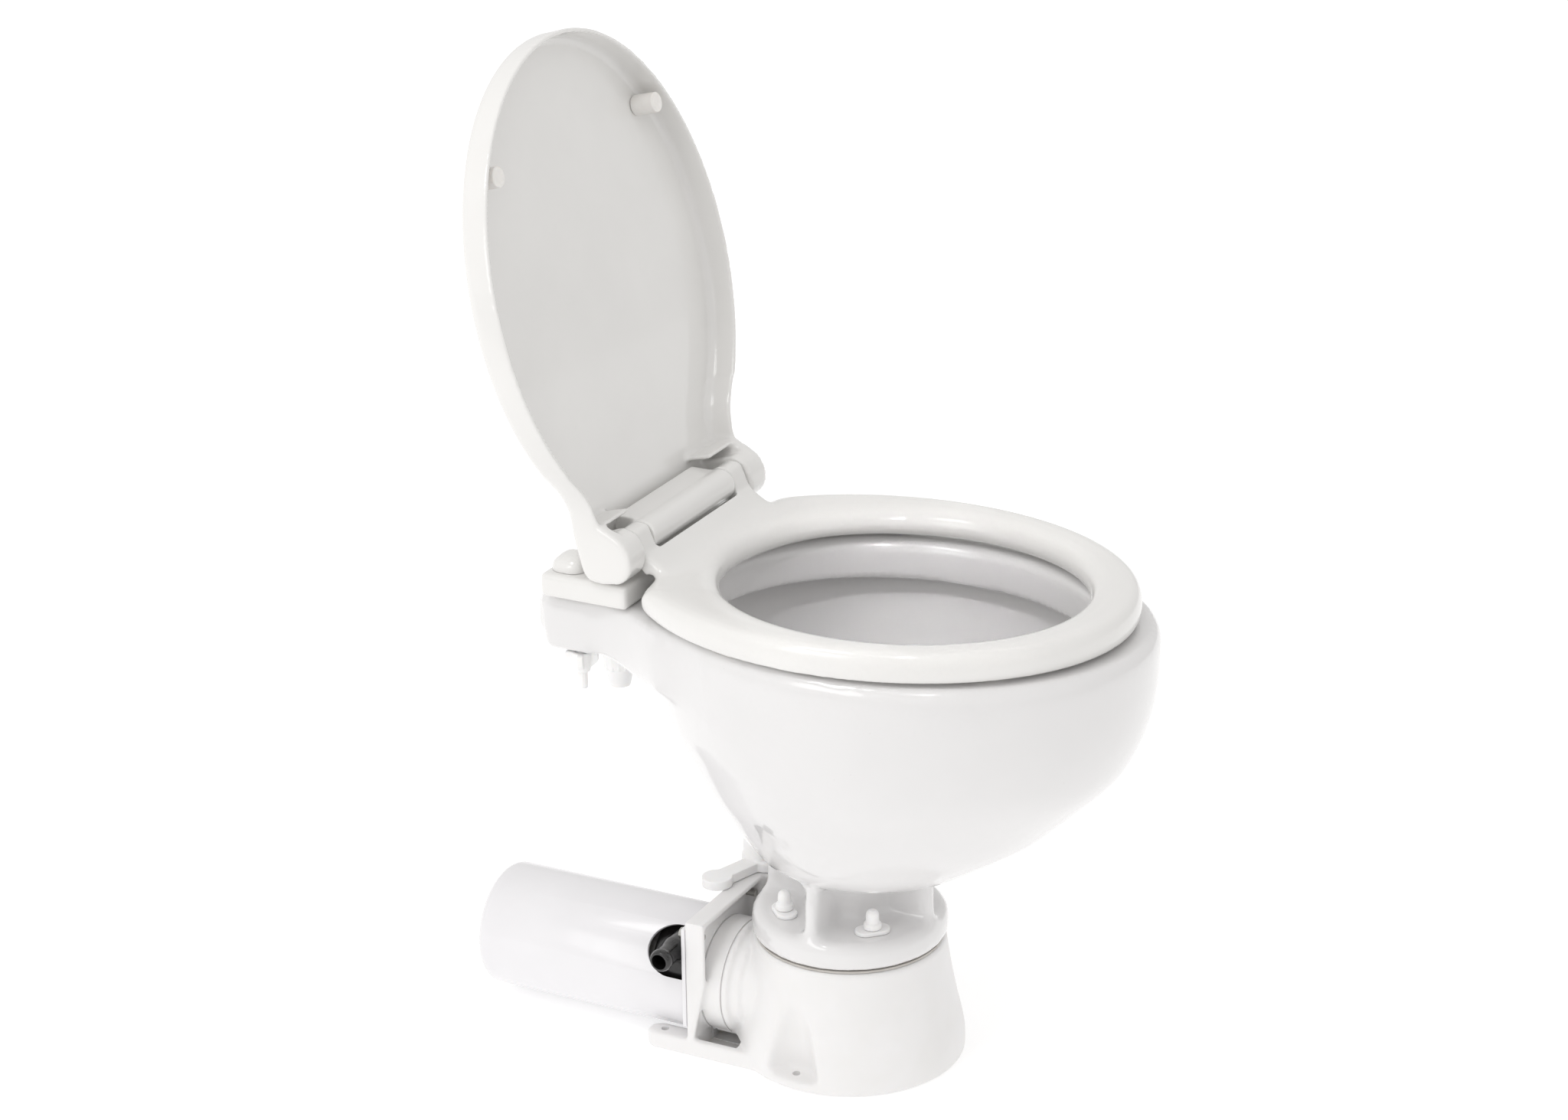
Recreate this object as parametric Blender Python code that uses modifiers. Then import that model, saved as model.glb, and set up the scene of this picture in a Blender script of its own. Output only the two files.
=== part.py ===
"""Electric marine toilet: china bowl on a moulded pump base, with hinged seat and lid.

Frame: metres, +Z up, the bowl faces -Y, the motor points to +Y.
The origin is on the floor, on the axis of the round pump base.
"""
import math

import bmesh
import bpy
from mathutils import Matrix, Vector

MM = 0.001

# Fits and shared values
GAP = 0.3 * MM
OVERRUN = 2.0 * MM
MERGE = 0.1 * MM
WHOLE_TURN = 2.0 * math.pi
ROUND_STEPS = 24
SMALL_STEPS = 12
FINE_STEPS = 40
RING_POINTS = 56
SEAT_POINTS = 72
SHARP_ANGLE = math.radians(35.0)

# Pump base
FOOT_RADIUS = 69.0 * MM
BASE_SPREAD = 12.0 * MM
BASE_RADIUS = FOOT_RADIUS + BASE_SPREAD
BASE_SKIRT = 13.0 * MM
BASE_TOP_Z = 88.0 * MM
BASE_TOP_INSET = 1.5 * MM
BASE_TOP_RADIUS = FOOT_RADIUS - BASE_TOP_INSET
BASE_MOUTH_RADIUS = 27.0 * MM
BASE_FLOOR = 9.0 * MM
FOOT_THICKNESS = 12.0 * MM
LUG_FLOOR = 7.0 * MM
SLAB_START_Y = 38.0 * MM
SLAB_POCKET_FRONT = 24.0 * MM
SLAB_POCKET_WIDTH = 22.0 * MM
SLAB_POCKET_FLOOR = 3.0 * MM
LUG_HOLE_INSET = 12.0 * MM
LUG_HOLE_X = BASE_RADIUS - LUG_HOLE_INSET
LUG_HOLE_Y = 8.0 * MM
FLUTE_RADIUS = 22.0 * MM
FLUTE_TOP_RADIUS = 11.0 * MM
FLUTE_OFFSET = 3.0 * MM
FLUTE_X = BASE_RADIUS + FLUTE_OFFSET
SCREW_HOLE_RADIUS = 2.8 * MM
EAR_HOLE_REACH = 22.0 * MM
EAR_HOLE_MARGIN = 12.0 * MM
EAR_WIDTH = 17.0 * MM

# Motor plate and macerator housing, all about the motor axis
MOTOR_X = -22.0 * MM
MOTOR_Z = 47.3 * MM
PLATE_FROM_FOOT = 26.0 * MM
PLATE_REAR_Y = FOOT_RADIUS + PLATE_FROM_FOOT
PLATE_WALL = 5.0 * MM
SLAB_POCKET_START_Y = PLATE_REAR_Y - PLATE_WALL - SLAB_POCKET_FRONT
PLATE_RIM_DEPTH = 15.0 * MM
PLATE_RIM_WALL = 4.0 * MM
PLATE_HALF_WIDTH = 46.0 * MM
PLATE_TOP_Z = 104.0 * MM
EAR_HOLE_Y = PLATE_REAR_Y + EAR_HOLE_REACH
EAR_END_Y = EAR_HOLE_Y + EAR_HOLE_MARGIN
HOUSING_RADIUS = 41.0 * MM
HOUSING_DEPTH = 29.0 * MM
HOUSING_START_Y = PLATE_REAR_Y - HOUSING_DEPTH
HOUSING_STEP = 3.0 * MM
HOUSING_STEP_RADIUS = HOUSING_RADIUS - HOUSING_STEP
HOUSING_STEP_DEPTH = 8.0 * MM
HOUSING_STEP_Y = HOUSING_START_Y - HOUSING_STEP_DEPTH
HOUSING_WALL = 4.0 * MM
HOUSING_BORE = HOUSING_RADIUS - HOUSING_WALL
HOUSING_FLOOR = 2.5 * MM
HOUSING_BORE_START_Y = HOUSING_START_Y + HOUSING_FLOOR
NECK_RADIUS = 36.0 * MM
NECK_WALL = 5.0 * MM
NECK_BORE = NECK_RADIUS - NECK_WALL
NECK_START_Y = 5.0 * MM
ORING_RADIUS = 40.6 * MM
ORING_WIDTH = 3.0 * MM
ORING_DEPTH = 1.8 * MM

# Discharge
RISER_RADIUS = 20.0 * MM
RISER_X = MOTOR_X + PLATE_HALF_WIDTH + RISER_RADIUS
RISER_FROM_REAR = 9.0 * MM
RISER_Y = PLATE_REAR_Y - RISER_FROM_REAR
RISER_WALL = 5.5 * MM
RISER_BORE = RISER_RADIUS - RISER_WALL
HOSETAIL_INSET = 1.0 * MM
HOSETAIL_RADIUS = RISER_RADIUS - HOSETAIL_INSET
HOSETAIL_HEIGHT = 53.7 * MM
HOSETAIL_TOP_Z = PLATE_TOP_Z + GAP + HOSETAIL_HEIGHT
HOSETAIL_FLANGE = 7.0 * MM
HOSETAIL_FLANGE_REACH_X = 50.0 * MM
HOSETAIL_FLANGE_REACH_Y = 16.0 * MM
HOSETAIL_FLANGE_END_X = RISER_X - HOSETAIL_FLANGE_REACH_X
HOSETAIL_FLANGE_END_Y = RISER_Y + HOSETAIL_FLANGE_REACH_Y
HOSETAIL_FLANGE_END_RADIUS = 11.0 * MM
HOSETAIL_NECK_HALF_WIDTH = 7.0 * MM
BARB_PITCH = 8.0 * MM
BARB_STEP = 1.2 * MM
BARB_COUNT = 4
VALVE_FLANGE_INSET = 1.5 * MM
VALVE_FLANGE_RADIUS = HOSETAIL_RADIUS - VALVE_FLANGE_INSET
VALVE_FLANGE = 2.4 * MM
VALVE_CLEARANCE = 2.0 * MM
VALVE_RADIUS = RISER_BORE - VALVE_CLEARANCE
VALVE_LIP_HALF = 1.6 * MM
VALVE_HEIGHT = 24.0 * MM
VALVE_WALL = 2.2 * MM

# Motor
CAN_RADIUS = 44.4 * MM
CAN_WALL = 2.5 * MM
CAN_END_ROOM = 21.1 * MM
CAN_END_ROUND = 7.0 * MM
MOTOR_FLANGE = 3.0 * MM
MOTOR_FLANGE_TOP_DROP = 6.0 * MM
MOTOR_FLANGE_TOP_Z = PLATE_TOP_Z - MOTOR_FLANGE_TOP_DROP
MOTOR_FLANGE_LOW_Z = 22.0 * MM
MOTOR_FLANGE_INSET = 0.6 * MM
MOTOR_FLANGE_HALF_WIDTH = PLATE_HALF_WIDTH - MOTOR_FLANGE_INSET
MOTOR_CLEARANCE = 5.9 * MM
MOTOR_RADIUS = CAN_RADIUS - CAN_WALL - MOTOR_CLEARANCE
MOTOR_LENGTH = 118.0 * MM
SHAFT_RADIUS = 4.0 * MM
SHAFT_OVERHANG = 8.0 * MM
SHAFT_IN_MOTOR = 12.0 * MM
SEAL_RADIUS = 9.7 * MM
SEAL_LENGTH = 8.0 * MM
FLANGE_SCREW_INSET = 6.5 * MM
FLANGE_SCREW_RADIUS = 2.5 * MM
FLANGE_SCREW_HEAD_RADIUS = 4.2 * MM
FLANGE_SCREW_HEAD = 3.0 * MM
FLANGE_SCREW_LENGTH = 12.0 * MM

# Flush pump
PUMP_CLEARANCE = 4.9 * MM
PUMP_RADIUS = CAN_RADIUS - CAN_WALL - PUMP_CLEARANCE
PUMP_LENGTH = 30.0 * MM
PUMP_CHAMBER_RADIUS = 22.0 * MM
PUMP_CHAMBER_START = 9.0 * MM
PUMP_CHAMBER_LENGTH = 13.0 * MM
PORT_RADIUS = 8.2 * MM
PORT_BORE = 5.0 * MM
PORT_COLLAR_RADIUS = 9.2 * MM
PORT_COLLAR_REACH = 48.0 * MM
FAR_COLLAR_REACH = 42.0 * MM
PORT_FROM_FLANGE = 10.6 * MM
PORT_RISE = 28.2 * MM
PORT_Z = MOTOR_Z + PORT_RISE
PORT_REACH = 58.0 * MM
FAR_PORT_REACH = 50.0 * MM
CUTOUT_HALF_WIDTH = 19.0 * MM
CUTOUT_LENGTH = 31.4 * MM
CUTOUT_ANGLE = math.radians(38.0)
FLUSH_IMPELLER_CLEARANCE = 1.5 * MM
FLUSH_IMPELLER_RADIUS = PUMP_CHAMBER_RADIUS - FLUSH_IMPELLER_CLEARANCE
IMPELLER_WIDTH = 9.0 * MM

# Macerator rotor
CHOPPER_RADIUS = 27.0 * MM
CHOPPER_THICKNESS = 2.0 * MM
CHOPPER_INSET = 2.0 * MM
CHOPPER_Y = HOUSING_STEP_Y + CHOPPER_INSET
CHOPPER_HALF_WIDTH = 7.0 * MM
WEAR_PLATE = 2.5 * MM
WEAR_PLATE_BORE = 20.0 * MM
SHAFT_START_Y = CHOPPER_Y - SHAFT_OVERHANG
IMPELLER_CLEARANCE = 3.0 * MM
IMPELLER_RADIUS = HOUSING_BORE - IMPELLER_CLEARANCE
IMPELLER_BACK = 2.5 * MM
IMPELLER_HUB_RADIUS = 9.0 * MM
IMPELLER_DEPTH = 13.0 * MM
IMPELLER_INSET = 5.5 * MM
IMPELLER_START_Y = HOUSING_BORE_START_Y + IMPELLER_INSET
VANE_COUNT = 4
VANE_THICKNESS = 4.0 * MM

# Bowl foot and its fixings
GASKET = 1.4 * MM
GASKET_INSET = 1.5 * MM
GASKET_RADIUS = BASE_TOP_RADIUS - GASKET_INSET
FOOT_EDGE_ROUND = 4.5 * MM
FOOT_TOP_RADIUS = FOOT_RADIUS - FOOT_EDGE_ROUND
FOOT_HEIGHT = 20.0 * MM
BOWL_BOTTOM_Z = BASE_TOP_Z + GAP + GASKET + GAP
LEDGE_Z = BOWL_BOTTOM_Z + FOOT_HEIGHT
RIB_INSET = 5.0 * MM
RIB_REACH = FOOT_RADIUS - RIB_INSET
RIB_HALF_WIDTH = 4.8 * MM
OUTLET_RADIUS = 24.0 * MM
BOLT_RADIUS = 3.0 * MM
BOLT_INSET = 21.0 * MM
BOLT_PITCH_RADIUS = FOOT_RADIUS - BOLT_INSET
BOLT_DEPTH = 15.0 * MM
BOLT_REACH = 11.0 * MM
BOLT_TOP_Z = LEDGE_Z + BOLT_REACH
WASHER_HALF_LENGTH = 12.5 * MM
WASHER_HALF_WIDTH = 7.5 * MM
WASHER = 2.6 * MM
NUT_RADIUS = 6.4 * MM
NUT_FLANGE = 4.5 * MM
NUT_HEIGHT = 14.0 * MM
NUT_DOME_RADIUS = 4.6 * MM
BOLT_CLEARANCE = 0.4 * MM

# Bowl body
BOWL_HEIGHT = 251.0 * MM
RIM_Z = BOWL_BOTTOM_Z + BOWL_HEIGHT
BODY_BOTTOM_SHARE = 0.428
BODY_BOTTOM_Z = BODY_BOTTOM_SHARE * RIM_Z
BASIN_BOTTOM_SHARE = 0.411
BASIN_BOTTOM_Z = BASIN_BOTTOM_SHARE * RIM_Z
BELLY_Z = 322.0 * MM
RIM_HALF_WIDTH = 143.0 * MM
RIM_FRONT_Y = -219.0 * MM
RIM_REAR_Y = 150.0 * MM
RIM_EDGE_ROUND = 6.0 * MM
RIM_LIP_DEPTH = 30.0 * MM
RIM_LIP_Z = RIM_Z - RIM_LIP_DEPTH
RIM_WIDTH = 28.0 * MM
RIM_INNER_HALF_WIDTH = RIM_HALF_WIDTH - RIM_WIDTH
RIM_INNER_HALF_LENGTH = 138.0 * MM
RIM_INNER_CENTRE_Y = -37.0 * MM
CHINA_WALL = 12.0 * MM

# Stem and ribs, from the foot up into the body
STEM_RADIUS = 30.0 * MM
STEM_OVERLAP = 1.0 * MM
STEM_TOP_Z = BODY_BOTTOM_Z + STEM_OVERLAP
STEM_TOP_RADIUS = 46.0 * MM
STEM_FLARE = 19.0 * MM
STEM_FLARE_Z = STEM_TOP_Z - STEM_FLARE
RIB_OVERLAP = 11.0 * MM
RIB_TOP_Z = BODY_BOTTOM_Z + RIB_OVERLAP

# Deck behind the bowl, which carries the hinges
DECK_REAR_Y = 200.0 * MM
DECK_HALF_WIDTH = 84.0 * MM
DECK_DEPTH = 43.0 * MM
DECK_UNDER_Z = RIM_Z - DECK_DEPTH
DECK_START_Y = 60.0 * MM
DECK_ROUND = 9.0 * MM
CORNER_POINTS = 5
INLET_FROM_REAR = 20.0 * MM
INLET_Y = DECK_REAR_Y - INLET_FROM_REAR
INLET_DEPTH = 20.0 * MM
INLET_TAIL_RADIUS = 8.7 * MM
INLET_FLANGE_RADIUS = 14.0 * MM
INLET_FLANGE = 4.0 * MM
INLET_PIPE_RADIUS = 7.5 * MM
INLET_PIPE_LENGTH = 51.0 * MM
INLET_PIPE_END_Z = DECK_UNDER_Z - INLET_PIPE_LENGTH
INLET_BORE = 4.5 * MM
INLET_NUT_RADIUS = 12.0 * MM
INLET_NUT_COLLAR = 7.0 * MM
INLET_NUT_END_RADIUS = 7.5 * MM
INLET_NUT_STEP = 5.0 * MM
INLET_NUT_LENGTH = 26.0 * MM
INLET_NUT_END_Z = INLET_PIPE_END_Z - INLET_NUT_STEP
INLET_NUT_TOP_Z = INLET_NUT_END_Z + INLET_NUT_LENGTH

# Hinge
BRACKET_FROM_REAR = 13.0 * MM
BRACKET_REAR_Y = DECK_REAR_Y - BRACKET_FROM_REAR
HINGE_FROM_REAR = 60.0 * MM
HINGE_Y = BRACKET_REAR_Y - HINGE_FROM_REAR
HINGE_RISE = 41.4 * MM
HINGE_Z = RIM_Z + HINGE_RISE
BARREL_RADIUS = 11.4 * MM
BARREL_HALF_LENGTH = 57.2 * MM
KNUCKLE_WIDTH = 18.5 * MM
KNUCKLE_END_X = BARREL_HALF_LENGTH + GAP + KNUCKLE_WIDTH
EAR_CLEARANCE = 0.5 * MM
EAR_THICKNESS = 22.5 * MM
EAR_START_X = KNUCKLE_END_X + EAR_CLEARANCE
EAR_END_X = EAR_START_X + EAR_THICKNESS
PIN_RADIUS = 4.0 * MM
PIN_INSET = 3.3 * MM
PIN_HALF_LENGTH = EAR_END_X - PIN_INSET
BRACKET_OVERHANG = 8.0 * MM
BRACKET_HALF_WIDTH = DECK_HALF_WIDTH + BRACKET_OVERHANG
BRACKET_FRONT_REACH = 6.0 * MM
BRACKET_FRONT_Y = HINGE_Y - BRACKET_FRONT_REACH
BRACKET_HEIGHT = 17.0 * MM
BRACKET_TOP_Z = RIM_Z + BRACKET_HEIGHT
BRACKET_ROUND = 3.0 * MM
PILLAR_INSET = 3.2 * MM
PILLAR_HALF_WIDTH = BARREL_HALF_LENGTH - PILLAR_INSET
PILLAR_FRONT_REACH = 7.0 * MM
PILLAR_FRONT_Y = HINGE_Y - PILLAR_FRONT_REACH
PILLAR_REAR_REACH = 22.0 * MM
PILLAR_REAR_Y = HINGE_Y + PILLAR_REAR_REACH
PILLAR_TOP_DROP = 0.6 * MM
HINGE_BOLT_INSET = 18.5 * MM
HINGE_BOLT_X = BRACKET_HALF_WIDTH - HINGE_BOLT_INSET
HINGE_BOLT_FROM_REAR = 20.0 * MM
HINGE_BOLT_Y = BRACKET_REAR_Y - HINGE_BOLT_FROM_REAR
HINGE_BOLT_RADIUS = 3.6 * MM
HINGE_BOLT_HEAD_RADIUS = 7.0 * MM
HINGE_BOLT_HEAD = 5.0 * MM
HINGE_BOLT_REACH = 27.0 * MM
HINGE_BOLT_END_Z = DECK_UNDER_Z - HINGE_BOLT_REACH
CAP_HALF_WIDTH = 12.4 * MM
CAP_FROM_REAR = 2.5 * MM
CAP_LENGTH = 24.9 * MM
CAP_REAR_Y = BRACKET_REAR_Y - CAP_FROM_REAR
CAP_FRONT_Y = CAP_REAR_Y - CAP_LENGTH
CAP_HEIGHT = 12.5 * MM
CAP_ROUND = 5.0 * MM
WING_NUT_RADIUS = 7.0 * MM
WING_NUT_HEIGHT = 14.5 * MM
WING_REACH = 11.5 * MM
WING_HALF_THICKNESS = 2.2 * MM
WING_COUNT = 4
HINGE_BOLT_HOLE = 4.4 * MM

# Seat
SEAT_RISE = 24.0 * MM
SEAT_TOP_Z = RIM_Z + SEAT_RISE
SEAT_THICKNESS = 20.8 * MM
SEAT_OVERHANG = 1.0 * MM
SEAT_HALF_WIDTH = RIM_HALF_WIDTH + SEAT_OVERHANG
SEAT_HALF_LENGTH = 178.5 * MM
SEAT_CENTRE_Y = -25.7 * MM
SEAT_FROM_HINGE = 20.0 * MM
SEAT_REAR_Y = HINGE_Y - SEAT_FROM_HINGE
SEAT_REAR_CORNER = 12.0 * MM
SEAT_HOLE_INSET = 2.0 * MM
SEAT_HOLE_HALF_WIDTH = RIM_INNER_HALF_WIDTH - SEAT_HOLE_INSET
SEAT_HOLE_HALF_LENGTH = 126.6 * MM
SEAT_HOLE_CENTRE_Y = -41.6 * MM
SEAT_EDGE_ROUND = 9.0 * MM
SEAT_LIP_WIDTH = 20.0 * MM
SEAT_LIP_DROP = 7.0 * MM
TONGUE_UNDER_DROP = 19.4 * MM
TONGUE_TOP_DROP = 7.0 * MM
TONGUE_REACH = 12.6 * MM
SEAT_BUMPER_HALF_LENGTH = 12.0 * MM
SEAT_BUMPER_HALF_WIDTH = 5.0 * MM
SEAT_UP_DEG = 108.0

# Lid, in its own frame: along it from the hinge axis, and up from that axis when shut
LID_OPEN_DEG = 104.4
LID_SHUT_DEG = -5.0
LID_LIP_LIFT = 4.0 * MM
LID_TOP_LIFT = 27.0 * MM
LID_WALL = 3.0 * MM
LID_ROUND = 8.0 * MM
LID_OVERHANG = 6.0 * MM
LID_HALF_WIDTH = SEAT_HALF_WIDTH + LID_OVERHANG
LID_HALF_LENGTH = 170.0 * MM
LID_TIP = 337.0 * MM
LID_REAR = 18.0 * MM
LID_EAR_BLEND = 62.0 * MM
LID_EAR_STEP = 0.6 * MM
LID_NOTCH_INSET = 0.2 * MM
LID_NOTCH_HALF_WIDTH = BARREL_HALF_LENGTH - LID_NOTCH_INSET
LID_EAR_BOTTOM = 21.0 * MM
LID_EAR_FRONT = 13.5 * MM
LID_BUMPER_FROM_TIP = 73.0 * MM
LID_BUMPER_ALONG = LID_TIP - LID_BUMPER_FROM_TIP
LID_BUMPER_INSET = 44.5 * MM
LID_BUMPER_X = LID_HALF_WIDTH - LID_BUMPER_INSET
LID_BUMPER_RADIUS = 7.3 * MM

MOTOR_AXIS = Vector((MOTOR_X, 0.0, MOTOR_Z))
MOTOR_FLANGE_Y = PLATE_REAR_Y + GAP
CAN_START_Y = MOTOR_FLANGE_Y + MOTOR_FLANGE + GAP
CAN_END_Y = CAN_START_Y + PUMP_LENGTH + GAP + MOTOR_LENGTH + CAN_END_ROOM
PORT_Y = CAN_START_Y + PORT_FROM_FLANGE
CUTOUT_END_Y = CAN_START_Y + CUTOUT_LENGTH
SEAT_UNDER_Z = SEAT_TOP_Z - SEAT_THICKNESS
BRACKET_UNDER_Z = RIM_Z + GAP

COLOURS = {
    "china": ((0.86, 0.85, 0.84, 1.0), 0.12, 0.0),
    "nylon": ((0.84, 0.83, 0.83, 1.0), 0.28, 0.0),
    "seat_white": ((0.85, 0.84, 0.84, 1.0), 0.18, 0.0),
    "painted_steel": ((0.82, 0.81, 0.81, 1.0), 0.30, 0.0),
    "black_plastic": ((0.02, 0.02, 0.02, 1.0), 0.25, 0.0),
    "steel": ((0.60, 0.60, 0.60, 1.0), 0.35, 1.0),
    "rubber": ((0.06, 0.06, 0.06, 1.0), 0.70, 0.0),
    "pale_rubber": ((0.72, 0.71, 0.70, 1.0), 0.60, 0.0),
    "hinge_nylon": ((0.86, 0.85, 0.82, 1.0), 0.35, 0.0),
}


def clear_scene():
    for item in list(bpy.data.objects):
        bpy.data.objects.remove(item, do_unlink=True)


def make_collection(name):
    collection = bpy.data.collections.new(name)
    bpy.context.scene.collection.children.link(collection)
    return collection


def material_for(kind, name):
    colour, roughness, metallic = COLOURS[kind]
    material = bpy.data.materials.new(name + "_" + kind)
    material.use_nodes = True
    shader = material.node_tree.nodes["Principled BSDF"]
    shader.inputs["Base Color"].default_value = colour
    shader.inputs["Roughness"].default_value = roughness
    shader.inputs["Metallic"].default_value = metallic
    return material


def mesh_object(name, bm):
    mesh = bpy.data.meshes.new(name)
    bm.to_mesh(mesh)
    bm.free()
    item = bpy.data.objects.new(name, mesh)
    bpy.context.scene.collection.objects.link(item)
    return item


def facing_out(bm):
    bmesh.ops.remove_doubles(bm, verts=bm.verts, dist=MERGE / 10.0)
    bmesh.ops.recalc_face_normals(bm, faces=bm.faces)


def evaluated(item):
    """A copy of the object with its modifiers applied, as plain mesh data."""
    bpy.context.view_layer.update()
    depsgraph = bpy.context.evaluated_depsgraph_get()
    mesh = bpy.data.meshes.new_from_object(item.evaluated_get(depsgraph))
    result = bpy.data.objects.new(item.name, mesh)
    result.matrix_world = item.matrix_world.copy()
    bpy.context.scene.collection.objects.link(result)
    return result


def baked(item):
    """The object replaced by its evaluated copy."""
    result = evaluated(item)
    name = item.name
    bpy.data.objects.remove(item, do_unlink=True)
    result.name = name
    return result


def moved(item, matrix):
    """The object with a transform written into its mesh."""
    item.data.transform(matrix)
    if matrix.determinant() < 0.0:
        item.data.flip_normals()
    return item


def tidied(item):
    """Merges the slivers a Boolean leaves, and tells whether the mesh is closed."""
    bm = bmesh.new()
    bm.from_mesh(item.data)
    bmesh.ops.remove_doubles(bm, verts=bm.verts, dist=MERGE / 10.0)
    bmesh.ops.dissolve_degenerate(bm, edges=bm.edges, dist=MERGE / 10.0)
    closed = all(edge.is_manifold for edge in bm.edges)
    bm.to_mesh(item.data)
    bm.free()
    return closed


def boolean(item, other, operation):
    """An exact Boolean, or the manifold solver where the exact one leaves an opening."""
    modifier = item.modifiers.new(operation.lower(), "BOOLEAN")
    modifier.operation = operation
    modifier.object = other
    modifier.solver = "EXACT"
    result = evaluated(item)
    if not tidied(result):
        bpy.data.objects.remove(result, do_unlink=True)
        modifier.solver = "MANIFOLD"
        result = evaluated(item)
        tidied(result)
    name = item.name
    bpy.data.objects.remove(item, do_unlink=True)
    bpy.data.objects.remove(other, do_unlink=True)
    result.name = name
    return result


def cut(item, *cutters):
    for cutter in cutters:
        item = boolean(item, cutter, "DIFFERENCE")
    return item


def joined(item, *others):
    for other in others:
        item = boolean(item, other, "UNION")
    return item


def common(item, other):
    return boolean(item, other, "INTERSECT")


def block(name, low, high):
    low = Vector(low)
    high = Vector(high)
    bm = bmesh.new()
    bmesh.ops.create_cube(bm, size=1.0)
    size = high - low
    centre = (high + low) / 2.0
    matrix = Matrix.Translation(centre) @ Matrix.Diagonal((size.x, size.y, size.z, 1.0))
    bmesh.ops.transform(bm, matrix=matrix, verts=bm.verts)
    return mesh_object(name, bm)


def rod(name, radius, start, end, steps=ROUND_STEPS, end_radius=None):
    """A cylinder or a cone between two points."""
    start = Vector(start)
    end = Vector(end)
    along = end - start
    tip = radius if end_radius is None else end_radius
    bm = bmesh.new()
    bmesh.ops.create_cone(
        bm, cap_ends=True, segments=steps, radius1=radius, radius2=tip, depth=along.length
    )
    turn = along.to_track_quat("Z", "Y").to_matrix().to_4x4()
    matrix = Matrix.Translation((start + end) / 2.0) @ turn
    bmesh.ops.transform(bm, matrix=matrix, verts=bm.verts)
    return mesh_object(name, bm)


def turned(name, profile, steps=ROUND_STEPS, closed=False):
    """A solid of revolution about Z from points (radius, height), top to bottom."""
    bm = bmesh.new()
    verts = [bm.verts.new((radius, 0.0, height)) for radius, height in profile]
    for first, second in zip(verts, verts[1:]):
        bm.edges.new((first, second))
    if closed:
        bm.edges.new((verts[-1], verts[0]))
    item = mesh_object(name, bm)
    screw = item.modifiers.new("turn", "SCREW")
    screw.angle = WHOLE_TURN
    screw.steps = steps
    screw.render_steps = steps
    screw.use_merge_vertices = True
    screw.merge_threshold = MERGE / 10.0
    item = baked(item)
    bm = bmesh.new()
    bm.from_mesh(item.data)
    facing_out(bm)
    bm.to_mesh(item.data)
    bm.free()
    return item


def plate(name, outline, low, high):
    """A flat outline of (x, y) points, filled and given the height low to high."""
    curve = bpy.data.curves.new(name, "CURVE")
    curve.dimensions = "2D"
    curve.fill_mode = "BOTH"
    curve.extrude = (high - low) / 2.0
    spline = curve.splines.new("POLY")
    spline.points.add(len(outline) - 1)
    for point, (x, y) in zip(spline.points, outline):
        point.co = (x, y, 0.0, 1.0)
    spline.use_cyclic_u = True
    item = bpy.data.objects.new(name, curve)
    bpy.context.scene.collection.objects.link(item)
    item = baked(item)
    bm = bmesh.new()
    bm.from_mesh(item.data)
    facing_out(bm)
    bm.to_mesh(item.data)
    bm.free()
    return moved(item, Matrix.Translation((0.0, 0.0, (low + high) / 2.0)))


def loft(name, rings):
    """A closed solid through rings of equal length, capped at both ends."""
    bm = bmesh.new()
    rows = [[bm.verts.new(point) for point in ring] for ring in rings]
    count = len(rows[0])
    for lower, upper in zip(rows, rows[1:]):
        for index in range(count):
            after = (index + 1) % count
            bm.faces.new((lower[index], lower[after], upper[after], upper[index]))
    bm.faces.new(rows[0])
    bm.faces.new(rows[-1])
    facing_out(bm)
    return mesh_object(name, bm)


def hoop(name, rings):
    """A closed ring-shaped solid through sections of equal length."""
    bm = bmesh.new()
    rows = [[bm.verts.new(point) for point in ring] for ring in rings]
    count = len(rows[0])
    for first, second in zip(rows, rows[1:] + rows[:1]):
        for index in range(count):
            after = (index + 1) % count
            bm.faces.new((first[index], first[after], second[after], second[index]))
    facing_out(bm)
    return mesh_object(name, bm)


def bevelled(item, width, segments, chosen):
    """Rounds the edges for which chosen(first, second) is true."""
    bm = bmesh.new()
    bm.from_mesh(item.data)
    bmesh.ops.dissolve_limit(bm, angle_limit=math.radians(1.0), verts=bm.verts, edges=bm.edges)
    edges = [edge for edge in bm.edges if chosen(edge.verts[0].co, edge.verts[1].co)]
    bmesh.ops.bevel(
        bm, geom=edges, offset=width, segments=segments, profile=0.5, affect="EDGES",
        clamp_overlap=True, material=-1,
    )
    bm.to_mesh(item.data)
    bm.free()
    return item


def along_y(item, x=MOTOR_X, z=MOTOR_Z):
    """Turns a piece made about Z so that its height runs along Y."""
    turn = Matrix.Rotation(-math.pi / 2.0, 4, "X")
    return moved(item, Matrix.Translation((x, 0.0, z)) @ turn)


def finish(item, name, kind, body, origin=(0.0, 0.0, 0.0)):
    """Names a piece, gives it its material and hangs it on its body's empty."""
    item.name = name
    item.data.name = name
    item.data.materials.clear()
    item.data.materials.append(material_for(kind, name))
    item.data.shade_smooth()
    item.data.set_sharp_from_angle(angle=SHARP_ANGLE)
    origin = Vector(origin)
    item.data.transform(Matrix.Translation(-origin))
    item.parent = body["empty"]
    item.location = origin - body["empty"].location
    for collection in list(item.users_collection):
        collection.objects.unlink(item)
    body["collection"].objects.link(item)
    return item


def body_empty(name, place, collection):
    empty = bpy.data.objects.new(name, None)
    empty.location = place
    collection.objects.link(empty)
    return {"empty": empty, "collection": collection}


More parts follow.
